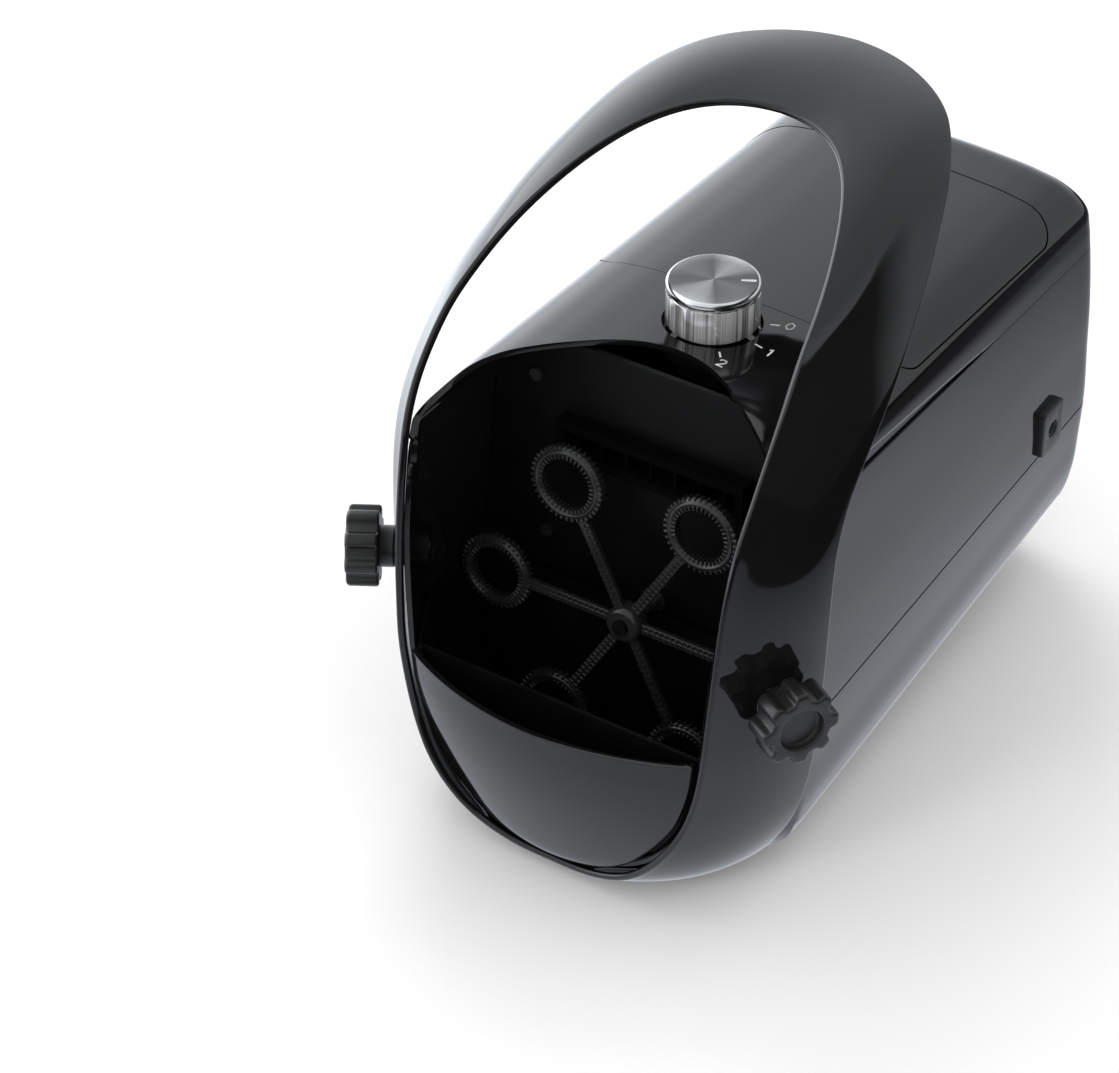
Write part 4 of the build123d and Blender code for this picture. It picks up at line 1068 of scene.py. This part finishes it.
for build in (top_cover, dial_well, top_panel, panel_rest, middle_shell, bottom_tub, front_apron,
              carry_bow, clamp_seats, star_knobs, ring_wheel, dial_knob, dial_pointer, dial_marks,
              jack_bezel, charge_socket, rubber_feet):
    build()

# ---------------------------------------------------------------- finishes of the other CAD nodes
# Nodes not listed are satin black
FINISHES = {
    "inner": "fluid_tank bulkhead wheel_screw",
    "deep": "air_nozzle",
    "steel": "wheel_axle motor_shaft gear_motor motor_bracket fan_shaft fan_motor switch_shaft "
             "switch_nut jack_nut foot_screws casing_screws",
    "nylon": "drive_gear",
    "brass": "motor_pinion board_pillars",
    "white": "dial_marks",
    "wrap": "battery_cells",
    "board": "circuit_board",
    "lead": "motor_lead fan_lead charge_lead switch_lead battery_lead",
    "dark": "knob_stud_left knob_stud_right",
    "rubber": "knob_washer_left knob_washer_right",
}
FINISH_OF = {name: finish for finish, names in FINISHES.items() for name in names.split()}
for name, cad_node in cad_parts.items():
    if cad_node.hide_render:
        continue
    finish = FINISH_OF.get(name, "satin")
    cad_node.data.materials.clear()
    cad_node.data.materials.append(MATERIALS[finish])


# ---------------------------------------------------------------- floor, world, lights, camera
def floor_paper():
    """White paper; glossy rays see it fade out like a table top of limited size."""
    material, tree, shader = new_material(
        "floor_paper", {"Roughness": 0.9, "Specular IOR Level": 0.1})
    colour = ramp(tree, noise(tree, 3.0), [(0.3, 0.93), (0.7, 0.96)])
    tree.links.new(colour, shader.inputs["Base Color"])
    position = node(tree, "NewGeometry").outputs["Position"]
    distance = node(tree, "VectorMath", [position, (0.0, 0.0, 0.0)], operation="DISTANCE")
    axes = node(tree, "SeparateXYZ", [position]).outputs
    # brightness falls with distance, but the table runs on to the left and ends at the right
    fade = remap(tree, distance.outputs["Value"], (0.20, 0.75), (0.80, 0.06))
    left = remap(tree, axes[0], (-0.12, -0.45), (0.0, 1.6))
    slanted = calc(tree, "SUBTRACT", axes[0], calc(tree, "MULTIPLY", axes[1], 0.5))
    right = remap(tree, slanted, (0.62, 0.65), (1.0, 0.05))
    strength = calc(tree, "MULTIPLY", calc(tree, "MAXIMUM", fade, left), right)
    glow = node(tree, "Emission", {"Color": (0.93, 0.98, 1.06, 1), "Strength": strength})
    glossy = node(tree, "LightPath").outputs["Is Glossy Ray"]
    mix = node(tree, "MixShader", [glossy, shader.outputs[0], glow.outputs[0]])
    tree.links.new(mix.outputs[0], tree.nodes["Material Output"].inputs[0])
    return material


def room_colour(tree):
    """The room as glossy rays see it: open and bright to the left, a dark wall at the right."""
    coords = node(tree, "TexCoord").outputs["Generated"]
    axes = node(tree, "SeparateXYZ", [coords]).outputs
    side = ramp(tree, remap(tree, axes[0], (-1, 1), (0, 1)), [
        (0.0, 1.0), (0.15, 0.62), (0.28, 0.32), (0.5, 0.225), (0.75, 0.21), (1.0, 0.26)])
    # the wall is dark up to a wavy ceiling line
    wave = calc(tree, "SUBTRACT", noise(tree, 4.0, detail=2.0, coords=coords), 0.5)
    height = calc(tree, "ADD", axes[2], calc(tree, "MULTIPLY", wave, 0.22))
    wall_level = remap(tree, height, (0.70, 0.725), (0.05, 1.3))
    wall = calc(tree, "MULTIPLY", remap(tree, axes[0], (0.46, 0.60), (0.0, 1.0)),
                remap(tree, axes[1], (0.42, 0.58), (1.0, 0.0)))
    open_level = remap(tree, axes[2], (-0.02, 0.20), (0.85, 1.0))
    level = node(tree, "MixRGB", [wall, open_level, wall_level]).outputs[0]
    cool_tint = (0.95, 1.0, 1.02, 1)
    return multiply_colour(tree, multiply_colour(tree, level, side), cool_tint)


def studio_world():
    world = bpy.data.worlds.new("studio")
    bpy.context.scene.world = world
    world.use_nodes = True
    tree = world.node_tree
    tree.nodes.clear()
    white = (1, 1, 1, 1)
    backdrop, ambient, room = (
        node(tree, "Background", {"Color": colour, "Strength": strength}).outputs[0]
        for colour, strength in ((white, 1.0), (white, 1.05), (room_colour(tree), 3.2)))
    rays = node(tree, "LightPath").outputs
    lighting = node(tree, "MixShader", [rays["Is Glossy Ray"], ambient, room]).outputs[0]
    seen = node(tree, "MixShader", [rays["Is Camera Ray"], lighting, backdrop]).outputs[0]
    node(tree, "OutputWorld", [seen])


def aim(thing, direction):
    thing.rotation_mode = "QUATERNION"
    thing.rotation_quaternion = Vector(direction).to_track_quat("-Z", "Y")


def softbox(name, location, width, height, power):
    """Rectangular lamp aimed at the middle of the machine, not mirrored in the casing."""
    light = bpy.data.lights.new(name, "AREA")
    light.shape = "RECTANGLE"
    light.size, light.size_y, light.energy = width, height, power
    lamp = bpy.data.objects.new(name, light)
    bpy.context.scene.collection.objects.link(lamp)
    lamp.location = location
    aim(lamp, Vector((0, 0, 0.12)) - Vector(location))
    lamp.visible_glossy = False
    lamp.visible_camera = False


def add_camera():
    data = bpy.data.cameras.new("cam")
    camera = bpy.data.objects.new("cam", data)
    bpy.context.scene.collection.objects.link(camera)
    camera.location = (0.6519, -1.14335, 1.0751)
    aim(camera, (-0.4375, 0.6666, -0.6035))
    data.lens, data.sensor_width = 119.0, 36.0
    data.clip_start, data.clip_end = 0.05, 30
    bpy.context.scene.camera = camera


bpy.ops.mesh.primitive_plane_add(size=14, location=(0, 0, -0.0004))
floor = bpy.context.object
floor.name = "floor"
floor.data.materials.append(floor_paper())
studio_world()
softbox("key", location=(-0.9, 0.9, 1.5), width=0.9, height=0.6, power=9.0)
softbox("front", location=(-0.35, -1.5, 0.75), width=0.35, height=0.5, power=4.0)
add_camera()

scene = bpy.context.scene
scene.view_settings.view_transform = "Standard"
scene.view_settings.look = "None"
scene.view_settings.exposure = 0.0
scene.cycles.max_bounces = 8

bpy.context.view_layer.update()
